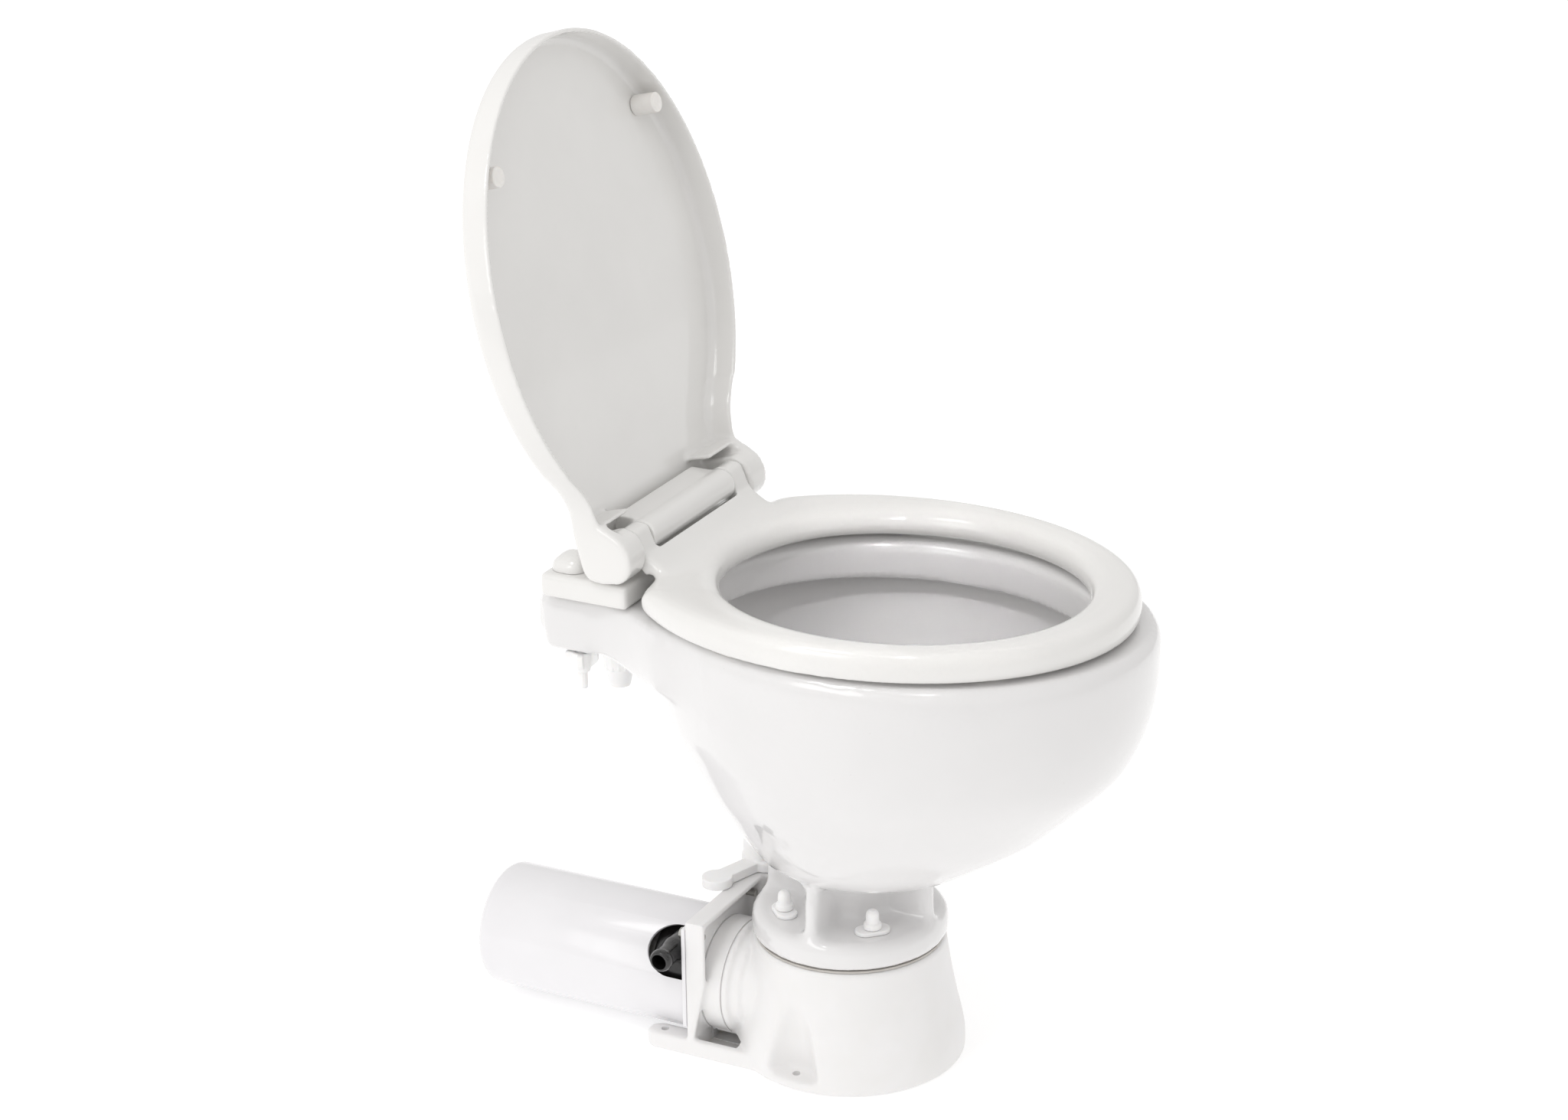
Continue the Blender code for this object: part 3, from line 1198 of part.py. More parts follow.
def make_rotor(body):
    x = MOTOR_X
    z = MOTOR_Z
    axis = (x, PLATE_REAR_Y, z)
    shaft_end = CAN_START_Y + PUMP_LENGTH + GAP + SHAFT_IN_MOTOR
    shaft = rod("shaft", SHAFT_RADIUS, (x, SHAFT_START_Y, z), (x, shaft_end, z), SMALL_STEPS)
    finish(shaft, "motor_shaft", "steel", body, axis)
    chopper = rod("chopper", CHOPPER_RADIUS, (x, CHOPPER_Y, z), (x, CHOPPER_Y + CHOPPER_THICKNESS, z))
    half = CHOPPER_HALF_WIDTH
    blade = block(
        "blade", (x - CHOPPER_RADIUS, CHOPPER_Y - OVERRUN, z - half),
        (x + CHOPPER_RADIUS, CHOPPER_Y + CHOPPER_THICKNESS + OVERRUN, z + half),
    )
    chopper = common(chopper, blade)
    hub = rod("hub", IMPELLER_HUB_RADIUS, (x, CHOPPER_Y, z), (x, CHOPPER_Y + 2.0 * CHOPPER_THICKNESS, z))
    chopper = joined(chopper, hub)
    hole = rod(
        "hole", SHAFT_RADIUS + GAP, (x, CHOPPER_Y - OVERRUN, z),
        (x, CHOPPER_Y + 2.0 * CHOPPER_THICKNESS + OVERRUN, z), SMALL_STEPS,
    )
    finish(cut(chopper, hole), "chopper_plate", "steel", body, axis)
    impeller = vane_rotor(
        "impeller", IMPELLER_RADIUS, IMPELLER_HUB_RADIUS, IMPELLER_BACK, IMPELLER_DEPTH,
        IMPELLER_START_Y,
    )
    finish(impeller, "discharge_impeller", "nylon", body, axis)
    flush_y = CAN_START_Y + PUMP_CHAMBER_START + (PUMP_CHAMBER_LENGTH - IMPELLER_WIDTH) / 2.0
    flush = vane_rotor(
        "flush", FLUSH_IMPELLER_RADIUS, IMPELLER_HUB_RADIUS, IMPELLER_BACK, IMPELLER_WIDTH, flush_y,
    )
    finish(flush, "flush_impeller", "rubber", body, axis)


def make_discharge(body):
    """Hosetail with its long bolting flange, and the duckbill valve held under it."""
    low = PLATE_TOP_Z + GAP
    high = low + HOSETAIL_FLANGE
    near = Vector((HOSETAIL_FLANGE_END_X, HOSETAIL_FLANGE_END_Y))
    centre = Vector((RISER_X, RISER_Y))
    lean = math.degrees(math.atan2(near.y - centre.y, near.x - centre.x))
    big = RISER_RADIUS + BARB_STEP
    small = HOSETAIL_FLANGE_END_RADIUS
    big_part = math.degrees(math.asin(HOSETAIL_NECK_HALF_WIDTH / big))
    small_part = 180.0 - math.degrees(math.asin(HOSETAIL_NECK_HALF_WIDTH / small))
    outline = arc(centre.x, centre.y, big, lean + big_part, lean + 360.0 - big_part, ROUND_STEPS)
    outline += arc(near.x, near.y, small, lean - small_part, lean + small_part, SMALL_STEPS)
    tail = plate("flange", outline, low, high)
    profile = [(0.0, HOSETAIL_TOP_Z), (HOSETAIL_RADIUS - BARB_STEP, HOSETAIL_TOP_Z)]
    for index in range(BARB_COUNT):
        top = HOSETAIL_TOP_Z - index * BARB_PITCH
        profile.append((HOSETAIL_RADIUS, top - BARB_PITCH / 2.0))
        profile.append((HOSETAIL_RADIUS - BARB_STEP, top - BARB_PITCH / 2.0))
    profile += [(HOSETAIL_RADIUS, high + BARB_PITCH), (HOSETAIL_RADIUS, low), (0.0, low)]
    tube = moved(turned("tube", profile), Matrix.Translation((RISER_X, RISER_Y, 0.0)))
    tail = joined(tail, tube)
    bore = rod(
        "bore", RISER_BORE, (RISER_X, RISER_Y, low - OVERRUN),
        (RISER_X, RISER_Y, HOSETAIL_TOP_Z + OVERRUN),
    )
    seat = rod(
        "seat", VALVE_FLANGE_RADIUS + GAP, (RISER_X, RISER_Y, low - OVERRUN),
        (RISER_X, RISER_Y, low + VALVE_FLANGE + GAP),
    )
    finish(cut(tail, bore, seat), "discharge_hosetail", "hinge_nylon", body)
    flange_top = low + VALVE_FLANGE
    rings = [
        round_ring(low, VALVE_FLANGE_RADIUS, VALVE_FLANGE_RADIUS),
        round_ring(flange_top, VALVE_FLANGE_RADIUS, VALVE_FLANGE_RADIUS),
        round_ring(flange_top, VALVE_RADIUS, VALVE_RADIUS),
        round_ring(flange_top + VALVE_HEIGHT / 3.0, VALVE_RADIUS, VALVE_RADIUS * 0.7),
        round_ring(flange_top + VALVE_HEIGHT, VALVE_RADIUS, VALVE_LIP_HALF + VALVE_WALL / 2.0),
    ]
    inner = VALVE_RADIUS - VALVE_WALL
    slit = [
        round_ring(low - OVERRUN, inner, inner),
        round_ring(flange_top + VALVE_HEIGHT / 3.0, inner, inner * 0.6),
        round_ring(flange_top + VALVE_HEIGHT + OVERRUN, inner, VALVE_LIP_HALF / 2.0),
    ]
    finish(cut(loft("valve", rings), loft("slit", slit)), "joker_valve", "rubber", body)


def round_ring(height, half_x, half_y):
    """A ring about the riser's axis, round or flattened."""
    ring = ring_at(height, half_x, RISER_Y - half_y, RISER_Y + half_y, ROUND_STEPS)
    return [(x + RISER_X, y, z) for x, y, z in ring]


def make_inlet(body):
    """Flush water inlet under the deck: spigot and the hose nut on its end."""
    flange_top = DECK_UNDER_Z - GAP
    profile = [
        (0.0, DECK_UNDER_Z + INLET_DEPTH - GAP),
        (INLET_TAIL_RADIUS, DECK_UNDER_Z + INLET_DEPTH - GAP),
        (INLET_TAIL_RADIUS, flange_top),
        (INLET_FLANGE_RADIUS, flange_top),
        (INLET_FLANGE_RADIUS, flange_top - INLET_FLANGE),
        (INLET_PIPE_RADIUS, flange_top - INLET_FLANGE),
        (INLET_PIPE_RADIUS, INLET_PIPE_END_Z),
        (0.0, INLET_PIPE_END_Z),
    ]
    place = Matrix.Translation((0.0, INLET_Y, 0.0))
    spigot = moved(turned("spigot", profile), place)
    low = (0.0, INLET_Y, INLET_PIPE_END_Z - OVERRUN)
    high = (0.0, INLET_Y, DECK_UNDER_Z + INLET_DEPTH + OVERRUN)
    spigot = cut(spigot, rod("bore", INLET_BORE, low, high, SMALL_STEPS))
    finish(spigot, "flush_inlet_spigot", "hinge_nylon", body)
    profile = [
        (0.0, INLET_NUT_TOP_Z),
        (INLET_NUT_RADIUS, INLET_NUT_TOP_Z),
        (INLET_NUT_RADIUS, INLET_NUT_TOP_Z - INLET_NUT_COLLAR),
        (INLET_NUT_END_RADIUS, INLET_NUT_END_Z),
        (0.0, INLET_NUT_END_Z),
    ]
    nut = moved(turned("nut", profile), place)
    socket_low = (0.0, INLET_Y, INLET_PIPE_END_Z - GAP)
    socket = rod("socket", INLET_PIPE_RADIUS + GAP, socket_low, high)
    low = (0.0, INLET_Y, INLET_NUT_END_Z - OVERRUN)
    nut = cut(nut, socket, rod("bore", INLET_BORE, low, high, SMALL_STEPS))
    finish(nut, "flush_inlet_nut", "hinge_nylon", body)


def make_hinge(body):
    """Bracket with its barrel, pin, bolts, caps and wing nuts."""
    axis_low = (-BARREL_HALF_LENGTH, HINGE_Y, HINGE_Z)
    axis_high = (BARREL_HALF_LENGTH, HINGE_Y, HINGE_Z)
    bracket = block(
        "bracket", (-BRACKET_HALF_WIDTH, BRACKET_FRONT_Y, BRACKET_UNDER_Z),
        (BRACKET_HALF_WIDTH, BRACKET_REAR_Y, BRACKET_TOP_Z),
    )
    bracket = bevelled(
        bracket, BRACKET_ROUND, 2, lambda a,
        b: min(a.z, b.z) > BRACKET_UNDER_Z + BRACKET_ROUND or abs(a.z - b.z) > BRACKET_ROUND,
    )
    pillar_top = HINGE_Z + BARREL_RADIUS - PILLAR_TOP_DROP
    pillar_points = [
        (PILLAR_FRONT_Y, BRACKET_TOP_Z - OVERRUN), (PILLAR_REAR_Y, BRACKET_TOP_Z - OVERRUN),
        (PILLAR_REAR_Y, pillar_top), (HINGE_Y, pillar_top), (PILLAR_FRONT_Y, HINGE_Z),
    ]
    pillar = side_profile("pillar", pillar_points, -PILLAR_HALF_WIDTH, PILLAR_HALF_WIDTH)
    barrel = rod("barrel", BARREL_RADIUS, axis_low, axis_high)
    bracket = joined(bracket, pillar, barrel)
    pin_hole = rod(
        "hole", PIN_RADIUS + GAP, (-BARREL_HALF_LENGTH - OVERRUN, HINGE_Y, HINGE_Z),
        (BARREL_HALF_LENGTH + OVERRUN, HINGE_Y, HINGE_Z), SMALL_STEPS,
    )
    bracket = cut(bracket, pin_hole)
    for number, side in enumerate((-1.0, 1.0), start=1):
        x = side * HINGE_BOLT_X
        y = HINGE_BOLT_Y
        head_top = BRACKET_TOP_Z - GAP
        head_low = head_top - HINGE_BOLT_HEAD
        hole = rod(
            "hole", HINGE_BOLT_RADIUS + GAP, (x, y, BRACKET_UNDER_Z - OVERRUN),
            (x, y, BRACKET_TOP_Z + OVERRUN), SMALL_STEPS,
        )
        sink = rod(
            "sink", HINGE_BOLT_HEAD_RADIUS + GAP, (x, y, head_low - GAP),
            (x, y, BRACKET_TOP_Z + OVERRUN), SMALL_STEPS,
        )
        bracket = cut(bracket, hole, sink)
        shank = rod(
            "shank", HINGE_BOLT_RADIUS, (x, y, HINGE_BOLT_END_Z),
            (x, y, head_top - HINGE_BOLT_HEAD / 2.0), SMALL_STEPS,
        )
        head = rod("head", HINGE_BOLT_HEAD_RADIUS, (x, y, head_low), (x, y, head_top), SMALL_STEPS)
        finish(joined(shank, head), f"hinge_bolt_{number}", "hinge_nylon", body)
        cap_low = BRACKET_TOP_Z + GAP
        cap_top = cap_low + CAP_HEIGHT
        cap = block(
            "cap", (x - CAP_HALF_WIDTH, CAP_FRONT_Y, cap_low),
            (x + CAP_HALF_WIDTH, CAP_REAR_Y, cap_top),
        )
        cap = bevelled(cap, CAP_ROUND, 3, lambda a, b: max(a.z, b.z) > cap_low + CAP_ROUND)
        finish(cap, f"hinge_bolt_cap_{number}", "seat_white", body)
        nut_top = DECK_UNDER_Z - GAP
        nut_low = nut_top - WING_NUT_HEIGHT
        nut = rod("nut", WING_NUT_RADIUS, (x, y, nut_low), (x, y, nut_top), SMALL_STEPS)
        half = WING_HALF_THICKNESS
        for turn_index in range(WING_COUNT // 2):
            wing = block("wing", (-WING_REACH, -half, nut_low + half), (WING_REACH, half, nut_top))
            turn = Matrix.Rotation(math.pi * turn_index / (WING_COUNT // 2) + math.pi / 8.0, 4, "Z")
            nut = joined(nut, moved(wing, Matrix.Translation((x, y, 0.0)) @ turn))
        hole = rod(
            "hole", HINGE_BOLT_RADIUS + GAP, (x, y, nut_low - OVERRUN), (x, y, nut_top + OVERRUN),
            SMALL_STEPS,
        )
        finish(cut(nut, hole), f"wing_nut_{number}", "hinge_nylon", body)
    finish(bracket, "hinge_bracket", "seat_white", body)
    pin = rod(
        "pin", PIN_RADIUS, (-PIN_HALF_LENGTH, HINGE_Y, HINGE_Z), (PIN_HALF_LENGTH, HINGE_Y, HINGE_Z),
        SMALL_STEPS,
    )
    finish(pin, "hinge_pin", "steel", body)


def seat_outline():
    """The seat's outer outline, an oval cut square behind."""
    points = []
    for index in range(SEAT_POINTS):
        angle = WHOLE_TURN * index / SEAT_POINTS
        x = SEAT_HALF_WIDTH * math.sin(angle)
        y = SEAT_CENTRE_Y - SEAT_HALF_LENGTH * math.cos(angle)
        points.append((x, min(y, SEAT_REAR_Y)))
    return points


# Section of the seat ring, from the hole's lower edge over the top to the outer lower edge:
# share across from hole to outer outline, and share of the thickness above the underside
SEAT_SECTION_SHARES = (
    (0.30, 0.00),
    (0.10, 0.12),
    (0.00, 0.38),
    (0.06, 0.64),
    (0.22, 0.88),
    (0.45, 0.99),
    (0.70, 1.00),
    (0.84, 0.95),
    (0.95, 0.75),
    (1.00, 0.45),
    (0.98, 0.15),
    (0.93, 0.00),
)


def seat_ring():
    outer = seat_outline()
    count = len(outer)
    sections = []
    for index in range(count):
        angle = WHOLE_TURN * index / count
        hole_x = SEAT_HOLE_HALF_WIDTH * math.sin(angle)
        hole_y = SEAT_HOLE_CENTRE_Y - SEAT_HOLE_HALF_LENGTH * math.cos(angle)
        out_x, out_y = outer[index]
        section = []
        for across, up in SEAT_SECTION_SHARES:
            x = hole_x + across * (out_x - hole_x)
            y = hole_y + across * (out_y - hole_y)
            section.append((x, y, SEAT_UNDER_Z + up * SEAT_THICKNESS))
        sections.append(section)
    return hoop("seat", sections)


def side_profile(name, points, low_x, high_x):
    """A (y, z) outline given its width along X."""
    item = plate(name, points, low_x, high_x)
    swap = Matrix(((0.0, 0.0, 1.0, 0.0), (1.0, 0.0, 0.0, 0.0), (0.0, 1.0, 0.0, 0.0), (0.0, 0.0, 0.0, 1.0)))
    return moved(item, swap)


def make_seat(body):
    axis = (0.0, HINGE_Y, HINGE_Z)
    seat = seat_ring()
    under = HINGE_Z - TONGUE_UNDER_DROP
    slot_y = HINGE_Y - TONGUE_REACH
    inner_y = SEAT_REAR_Y - SEAT_LIP_WIDTH
    points = arc(HINGE_Y, HINGE_Z, BARREL_RADIUS, -115.0, 125.0, SMALL_STEPS)
    points += [
        (slot_y, HINGE_Z - TONGUE_TOP_DROP + SEAT_LIP_DROP / 3.0),
        (SEAT_REAR_Y - SEAT_LIP_DROP, SEAT_TOP_Z + SEAT_LIP_DROP / 2.0),
        (inner_y, SEAT_TOP_Z - GAP),
        (inner_y + SEAT_LIP_DROP, SEAT_UNDER_Z + SEAT_LIP_DROP),
        (SEAT_REAR_Y - SEAT_LIP_DROP / 2.0, SEAT_UNDER_Z + SEAT_LIP_DROP),
        (SEAT_REAR_Y - GAP, under),
        (slot_y, under),
    ]
    back = side_profile("back", points, -KNUCKLE_END_X, KNUCKLE_END_X)
    half = BARREL_HALF_LENGTH + GAP
    low = (-half, slot_y, SEAT_UNDER_Z)
    high = (half, HINGE_Y + TONGUE_UNDER_DROP, HINGE_Z + TONGUE_UNDER_DROP)
    seat = joined(seat, cut(back, block("slot", low, high)))
    hole = rod(
        "hole", PIN_RADIUS + GAP, (-EAR_END_X, HINGE_Y, HINGE_Z), (EAR_END_X, HINGE_Y, HINGE_Z),
        SMALL_STEPS,
    )
    seat = cut(seat, hole)
    finish(seat, "seat", "seat_white", body, axis)
    for number, (x_share, y_share) in enumerate(SEAT_BUMPER_SHARES, start=1):
        x = x_share * SEAT_HALF_WIDTH
        y = SEAT_CENTRE_Y + y_share * SEAT_HALF_LENGTH
        half_length = SEAT_BUMPER_HALF_LENGTH
        half_width = SEAT_BUMPER_HALF_WIDTH
        straight = half_length - half_width
        outline = arc(0.0, straight, half_width, 0.0, 180.0, CORNER_POINTS + 2)
        outline += arc(0.0, -straight, half_width, 180.0, 360.0, CORNER_POINTS + 2)
        pad = plate("pad", outline, RIM_Z + GAP, SEAT_UNDER_Z - GAP)
        lean = math.atan2(x / SEAT_HALF_WIDTH ** 2, -(y - SEAT_CENTRE_Y) / SEAT_HALF_LENGTH ** 2)
        pad = moved(pad, Matrix.Translation((x, y, 0.0)) @ Matrix.Rotation(lean + math.pi / 2.0, 4, "Z"))
        finish(pad, f"seat_bumper_{number}", "pale_rubber", body, axis)


SEAT_BUMPER_SHARES = ((-0.62, -0.66), (0.62, -0.66), (-0.86, 0.30), (0.86, 0.30))


def lid_matrix(angle_deg):
    """From the lid's own frame (across, along, up) to the world, opened by an angle."""
    angle = math.radians(angle_deg)
    along = Vector((0.0, -math.cos(angle), math.sin(angle)))
    up = Vector((0.0, math.sin(angle), math.cos(angle)))
    across = along.cross(up)
    columns = (across, along, up)
    matrix = Matrix.Identity(4)
    for column, axis in enumerate(columns):
        for row in range(3):
            matrix[row][column] = axis[row]
    return Matrix.Translation((0.0, HINGE_Y, HINGE_Z)) @ matrix


def lid_outline(inset):
    """The lid's outline (across, along), narrowing to the two ears."""
    half_width = LID_HALF_WIDTH - inset
    half_length = LID_HALF_LENGTH - inset
    centre = LID_TIP - LID_HALF_LENGTH
    rear = LID_REAR + inset
    ear_x = EAR_END_X - LID_EAR_STEP - inset
    start = math.acos((centre - LID_EAR_BLEND) / half_length)
    side = []
    join_x = half_width * math.sin(start)
    for share, out_share in ((0.0, 0.0), (0.3, 0.06), (0.62, 0.34)):
        side.append((ear_x + out_share * (join_x - ear_x), rear + share * (LID_EAR_BLEND - rear)))
    steps = RING_POINTS // 2
    for index in range(steps + 1):
        angle = start + (math.pi - start) * index / steps
        side.append((half_width * math.sin(angle), centre - half_length * math.cos(angle)))
    mirrored = [(-x, y) for x, y in reversed(side[:-1])]
    return side + mirrored


def make_lid(body):
    axis = (0.0, HINGE_Y, HINGE_Z)
    tray = plate("tray", lid_outline(0.0), LID_LIP_LIFT, LID_TOP_LIFT)
    tray = bevelled(
        tray, LID_ROUND, 3, lambda a,
        b: min(a.z, b.z) > LID_TOP_LIFT - GAP and max(a.y, b.y) > LID_REAR + GAP,
    )
    hollow = plate("hollow", lid_outline(LID_WALL), LID_LIP_LIFT - OVERRUN, LID_TOP_LIFT - LID_WALL)
    notch_low = (-LID_NOTCH_HALF_WIDTH, LID_REAR - OVERRUN, LID_LIP_LIFT - OVERRUN)
    notch_high = (LID_NOTCH_HALF_WIDTH, LID_REAR + 2.0 * LID_WALL, LID_TOP_LIFT - LID_WALL)
    tray = cut(tray, hollow, block("notch", notch_low, notch_high))
    front = LID_EAR_FRONT
    bottom = LID_EAR_BOTTOM
    ear_points = [
        (LID_REAR + LID_WALL, LID_LIP_LIFT), (front, -front / 3.0), (front / 2.0, -front * 0.82),
        (-front / 6.0, -front), (-0.57 * bottom, -0.9 * front), (-0.9 * bottom, -0.4 * front),
        (-bottom, 0.15 * front), (-0.95 * bottom, front), (-0.76 * bottom, LID_TOP_LIFT - LID_WALL),
        (-0.38 * bottom, LID_TOP_LIFT), (LID_REAR + LID_WALL, LID_TOP_LIFT),
    ]
    for side in (-1.0, 1.0):
        low = min(side * EAR_START_X, side * EAR_END_X)
        high = max(side * EAR_START_X, side * EAR_END_X)
        ear = side_profile("ear", ear_points, low, high)
        tray = joined(tray, ear)
    hole = rod(
        "hole", PIN_RADIUS + GAP, (-PIN_HALF_LENGTH - GAP, 0.0, 0.0),
        (PIN_HALF_LENGTH + GAP, 0.0, 0.0), SMALL_STEPS,
    )
    tray = cut(tray, hole)
    place = lid_matrix(LID_OPEN_DEG)
    finish(moved(tray, place), "lid", "seat_white", body, axis)
    shut = math.radians(LID_SHUT_DEG)
    drop = SEAT_TOP_Z - HINGE_Z - LID_BUMPER_ALONG * math.sin(shut)
    bumper_low = drop / math.cos(shut) + GAP
    for number, side in enumerate((-1.0, 1.0), start=1):
        x = side * LID_BUMPER_X
        low = (x, LID_BUMPER_ALONG, bumper_low)
        high = (x, LID_BUMPER_ALONG, LID_TOP_LIFT - LID_WALL - GAP)
        bumper = rod("bumper", LID_BUMPER_RADIUS, low, high, SMALL_STEPS)
        finish(moved(bumper, place), f"lid_bumper_{number}", "pale_rubber", body, axis)


def build():
    clear_scene()
    collection = make_collection("electric_marine_toilet")
    root = body_empty("frame_body", (0.0, 0.0, 0.0), collection)
    rotor = body_empty("rotor_body", (MOTOR_X, PLATE_REAR_Y, MOTOR_Z), collection)
    seat = body_empty("seat_body", (0.0, HINGE_Y, HINGE_Z), collection)
    lid = body_empty("lid_body", (0.0, HINGE_Y, HINGE_Z), collection)
    make_bowl(root)
    make_base(root)
    make_gasket(root)
    make_foot_fixings(root)
    make_flange_parts(root)
    make_motor(root)
    make_pump(root)
    make_discharge(root)
    make_inlet(root)
    make_hinge(root)
    make_rotor(rotor)
    make_seat(seat)
    make_lid(lid)


build()
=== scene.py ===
# %% [markdown]
# An electric marine toilet, dressed for its picture.
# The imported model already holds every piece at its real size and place. This file gives the pieces
# that show a finer skin, gives every surface a material that behaves like the real one, and then
# sets the floor, the light and the camera. Nothing here changes a size: each finer piece stands
# where the plain one is.

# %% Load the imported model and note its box
import math

import bmesh
import bpy
from mathutils import Matrix, Vector


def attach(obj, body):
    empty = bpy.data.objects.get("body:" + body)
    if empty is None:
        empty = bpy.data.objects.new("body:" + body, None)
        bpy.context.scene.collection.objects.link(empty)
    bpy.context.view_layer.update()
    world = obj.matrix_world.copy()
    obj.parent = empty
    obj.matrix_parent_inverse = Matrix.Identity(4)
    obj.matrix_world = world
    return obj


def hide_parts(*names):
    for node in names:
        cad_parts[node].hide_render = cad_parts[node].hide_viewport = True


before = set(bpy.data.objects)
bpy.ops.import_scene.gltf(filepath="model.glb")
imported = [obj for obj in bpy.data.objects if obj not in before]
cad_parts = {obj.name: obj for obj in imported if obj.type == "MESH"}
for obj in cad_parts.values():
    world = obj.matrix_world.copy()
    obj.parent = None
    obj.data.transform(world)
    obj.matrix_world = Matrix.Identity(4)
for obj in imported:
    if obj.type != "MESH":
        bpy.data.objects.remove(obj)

MM = 0.001
WHOLE_TURN = 2.0 * math.pi
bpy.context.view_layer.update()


def mm(*values):
    """Millimetres turned to metres."""
    return tuple(value * MM for value in values)


# %% [markdown]
# Every material below is a small tree of nodes. One helper adds a node, sets its options and fills
# or links its inputs, so that a recipe reads as a list of what feeds what. Colours are written as the
# hex values a painter would read off a colour card, and one function turns them to the linear light
# values that the renderer works in.

# %% Helpers for materials
def linear(code):
    values = []
    for start in (0, 2, 4):
        share = int(code[start:start + 2], 16) / 255.0
        values.append(share / 12.92 if share <= 0.04045 else ((share + 0.055) / 1.055) ** 2.4)
    return (values[0], values[1], values[2], 1.0)


def add(tree, kind, plugs=None, **settings):
    made = tree.nodes.new(kind)
    for name, value in settings.items():
        setattr(made, name, value)
    for key, value in (plugs or {}).items():
        if isinstance(value, bpy.types.NodeSocket):
            tree.links.new(value, made.inputs[key])
        else:
            made.inputs[key].default_value = value
    return made


def per_mm(size):
    """Noise scale that gives a pattern about this many millimetres across."""
    return 1.0 / (size * MM)


print("ivory in linear light:", [round(value, 3) for value in linear("f2efe9")[:3]])


# %% [markdown]
# Most of this object is white, yet no two whites on it are alike: fired glaze, moulded seat plastic,
# the duller plastic of the pump base, stoved enamel on the motor and natural nylon on the small
# fittings. What tells them apart is how sharp the reflection is and how even the surface under it is.
# So one recipe makes them all from the same few facts: two close colours that drift into each other,
# a roughness that drifts too, a slow waviness and a fine grain.

# %% The recipe for a moulded, glazed or painted surface
def even_surface(
    name, pale, deep, drift, rough, grain, grain_depth, wave=40.0, wave_depth=0.0, ior=1.5,
    coat=0.0, coat_rough=0.03, specks=0.0, metal=0.0, stretch=(1.0, 1.0, 1.0), glow=0.0,
):
    material = bpy.data.materials.new(name)
    material.use_nodes = True
    tree = material.node_tree
    shader = tree.nodes["Principled BSDF"]
    place = add(tree, "ShaderNodeTexCoord")
    turned = add(tree, "ShaderNodeMapping", {"Vector": place.outputs["Object"], "Scale": stretch})
    slow = add(tree, "ShaderNodeTexNoise", {
        "Vector": turned.outputs["Vector"], "Scale": per_mm(drift), "Detail": 3.0,
        "Roughness": 0.55,
    })
    blend = add(tree, "ShaderNodeValToRGB", {"Fac": slow.outputs["Fac"]})
    blend.color_ramp.elements[0].position = 0.32
    blend.color_ramp.elements[0].color = linear(deep)
    blend.color_ramp.elements[1].position = 0.68
    blend.color_ramp.elements[1].color = linear(pale)
    colour = blend.outputs["Color"]
    if specks > 0.0:
        # Pinholes and dust spots: rare, small and faint
        spots = add(tree, "ShaderNodeTexVoronoi", {
            "Vector": place.outputs["Object"], "Scale": per_mm(14.0),
        })
        near = add(tree, "ShaderNodeMapRange", {
            "Value": spots.outputs["Distance"], "From Min": 0.012, "From Max": 0.03,
            "To Min": specks, "To Max": 0.0,
        })
        mixed = add(tree, "ShaderNodeMix", data_type="RGBA")
        tree.links.new(near.outputs["Result"], mixed.inputs[0])
        tree.links.new(colour, mixed.inputs[6])
        mixed.inputs[7].default_value = linear("8d867c")
        colour = mixed.outputs[2]
    tree.links.new(colour, shader.inputs["Base Color"])
    cloud = add(tree, "ShaderNodeTexNoise", {
        "Vector": turned.outputs["Vector"], "Scale": per_mm(drift * 0.4), "Detail": 4.0,
    })
    dull = add(tree, "ShaderNodeMapRange", {
        "Value": cloud.outputs["Fac"], "From Min": 0.3, "From Max": 0.7,
        "To Min": rough[0], "To Max": rough[1],
    })
    tree.links.new(dull.outputs["Result"], shader.inputs["Roughness"])
    fine = add(tree, "ShaderNodeTexNoise", {
        "Vector": turned.outputs["Vector"], "Scale": per_mm(grain), "Detail": 2.0,
    })
    bump = add(tree, "ShaderNodeBump", {
        "Height": fine.outputs["Fac"], "Strength": 1.0, "Distance": grain_depth * MM,
    })
    if wave_depth > 0.0:
        wide = add(tree, "ShaderNodeTexNoise", {
            "Vector": place.outputs["Object"], "Scale": per_mm(wave), "Detail": 0.0,
        })
        bump = add(tree, "ShaderNodeBump", {
            "Height": wide.outputs["Fac"], "Strength": 1.0, "Distance": wave_depth * MM,
            "Normal": bump.outputs["Normal"],
        })
    tree.links.new(bump.outputs["Normal"], shader.inputs["Normal"])
    shader.inputs["IOR"].default_value = ior
    shader.inputs["Metallic"].default_value = metal
    shader.inputs["Coat Weight"].default_value = coat
    shader.inputs["Coat Roughness"].default_value = coat_rough
    shader.inputs["Subsurface Weight"].default_value = glow
    shader.inputs["Subsurface Radius"].default_value = mm(3, 2.4, 1.8)
    shader.inputs["Subsurface Scale"].default_value = 1.0
    print("material:", name)
    return material


# %% [markdown]
# Vitreous china is clay fired under a thick white glaze. The glaze is a layer of glass, so the shine
# is sharp and lies on top of a soft white body: a coat over a rougher base gives that. A glaze also
# flows a little before it sets, which leaves a waviness a few centimetres long and a few hundredths
# of a millimetre deep, and here and there a pinhole.

# %% Finishes of the bowl, the seat and the lid
china = even_surface(
    "glazed_vitreous_china", "e3e2e2", "e0dfdf", 90.0, (0.16, 0.22), 2.4, 0.006, wave=26.0,
    wave_depth=0.05, ior=1.52, coat=1.0, coat_rough=0.02, specks=0.25,
)
seat_plastic = even_surface(
    "gloss_moulded_seat_plastic", "e9e8e6", "e6e5e3", 70.0, (0.12, 0.17), 1.6, 0.004, wave=30.0,
    wave_depth=0.04, ior=1.5, coat=0.6, coat_rough=0.04,
)

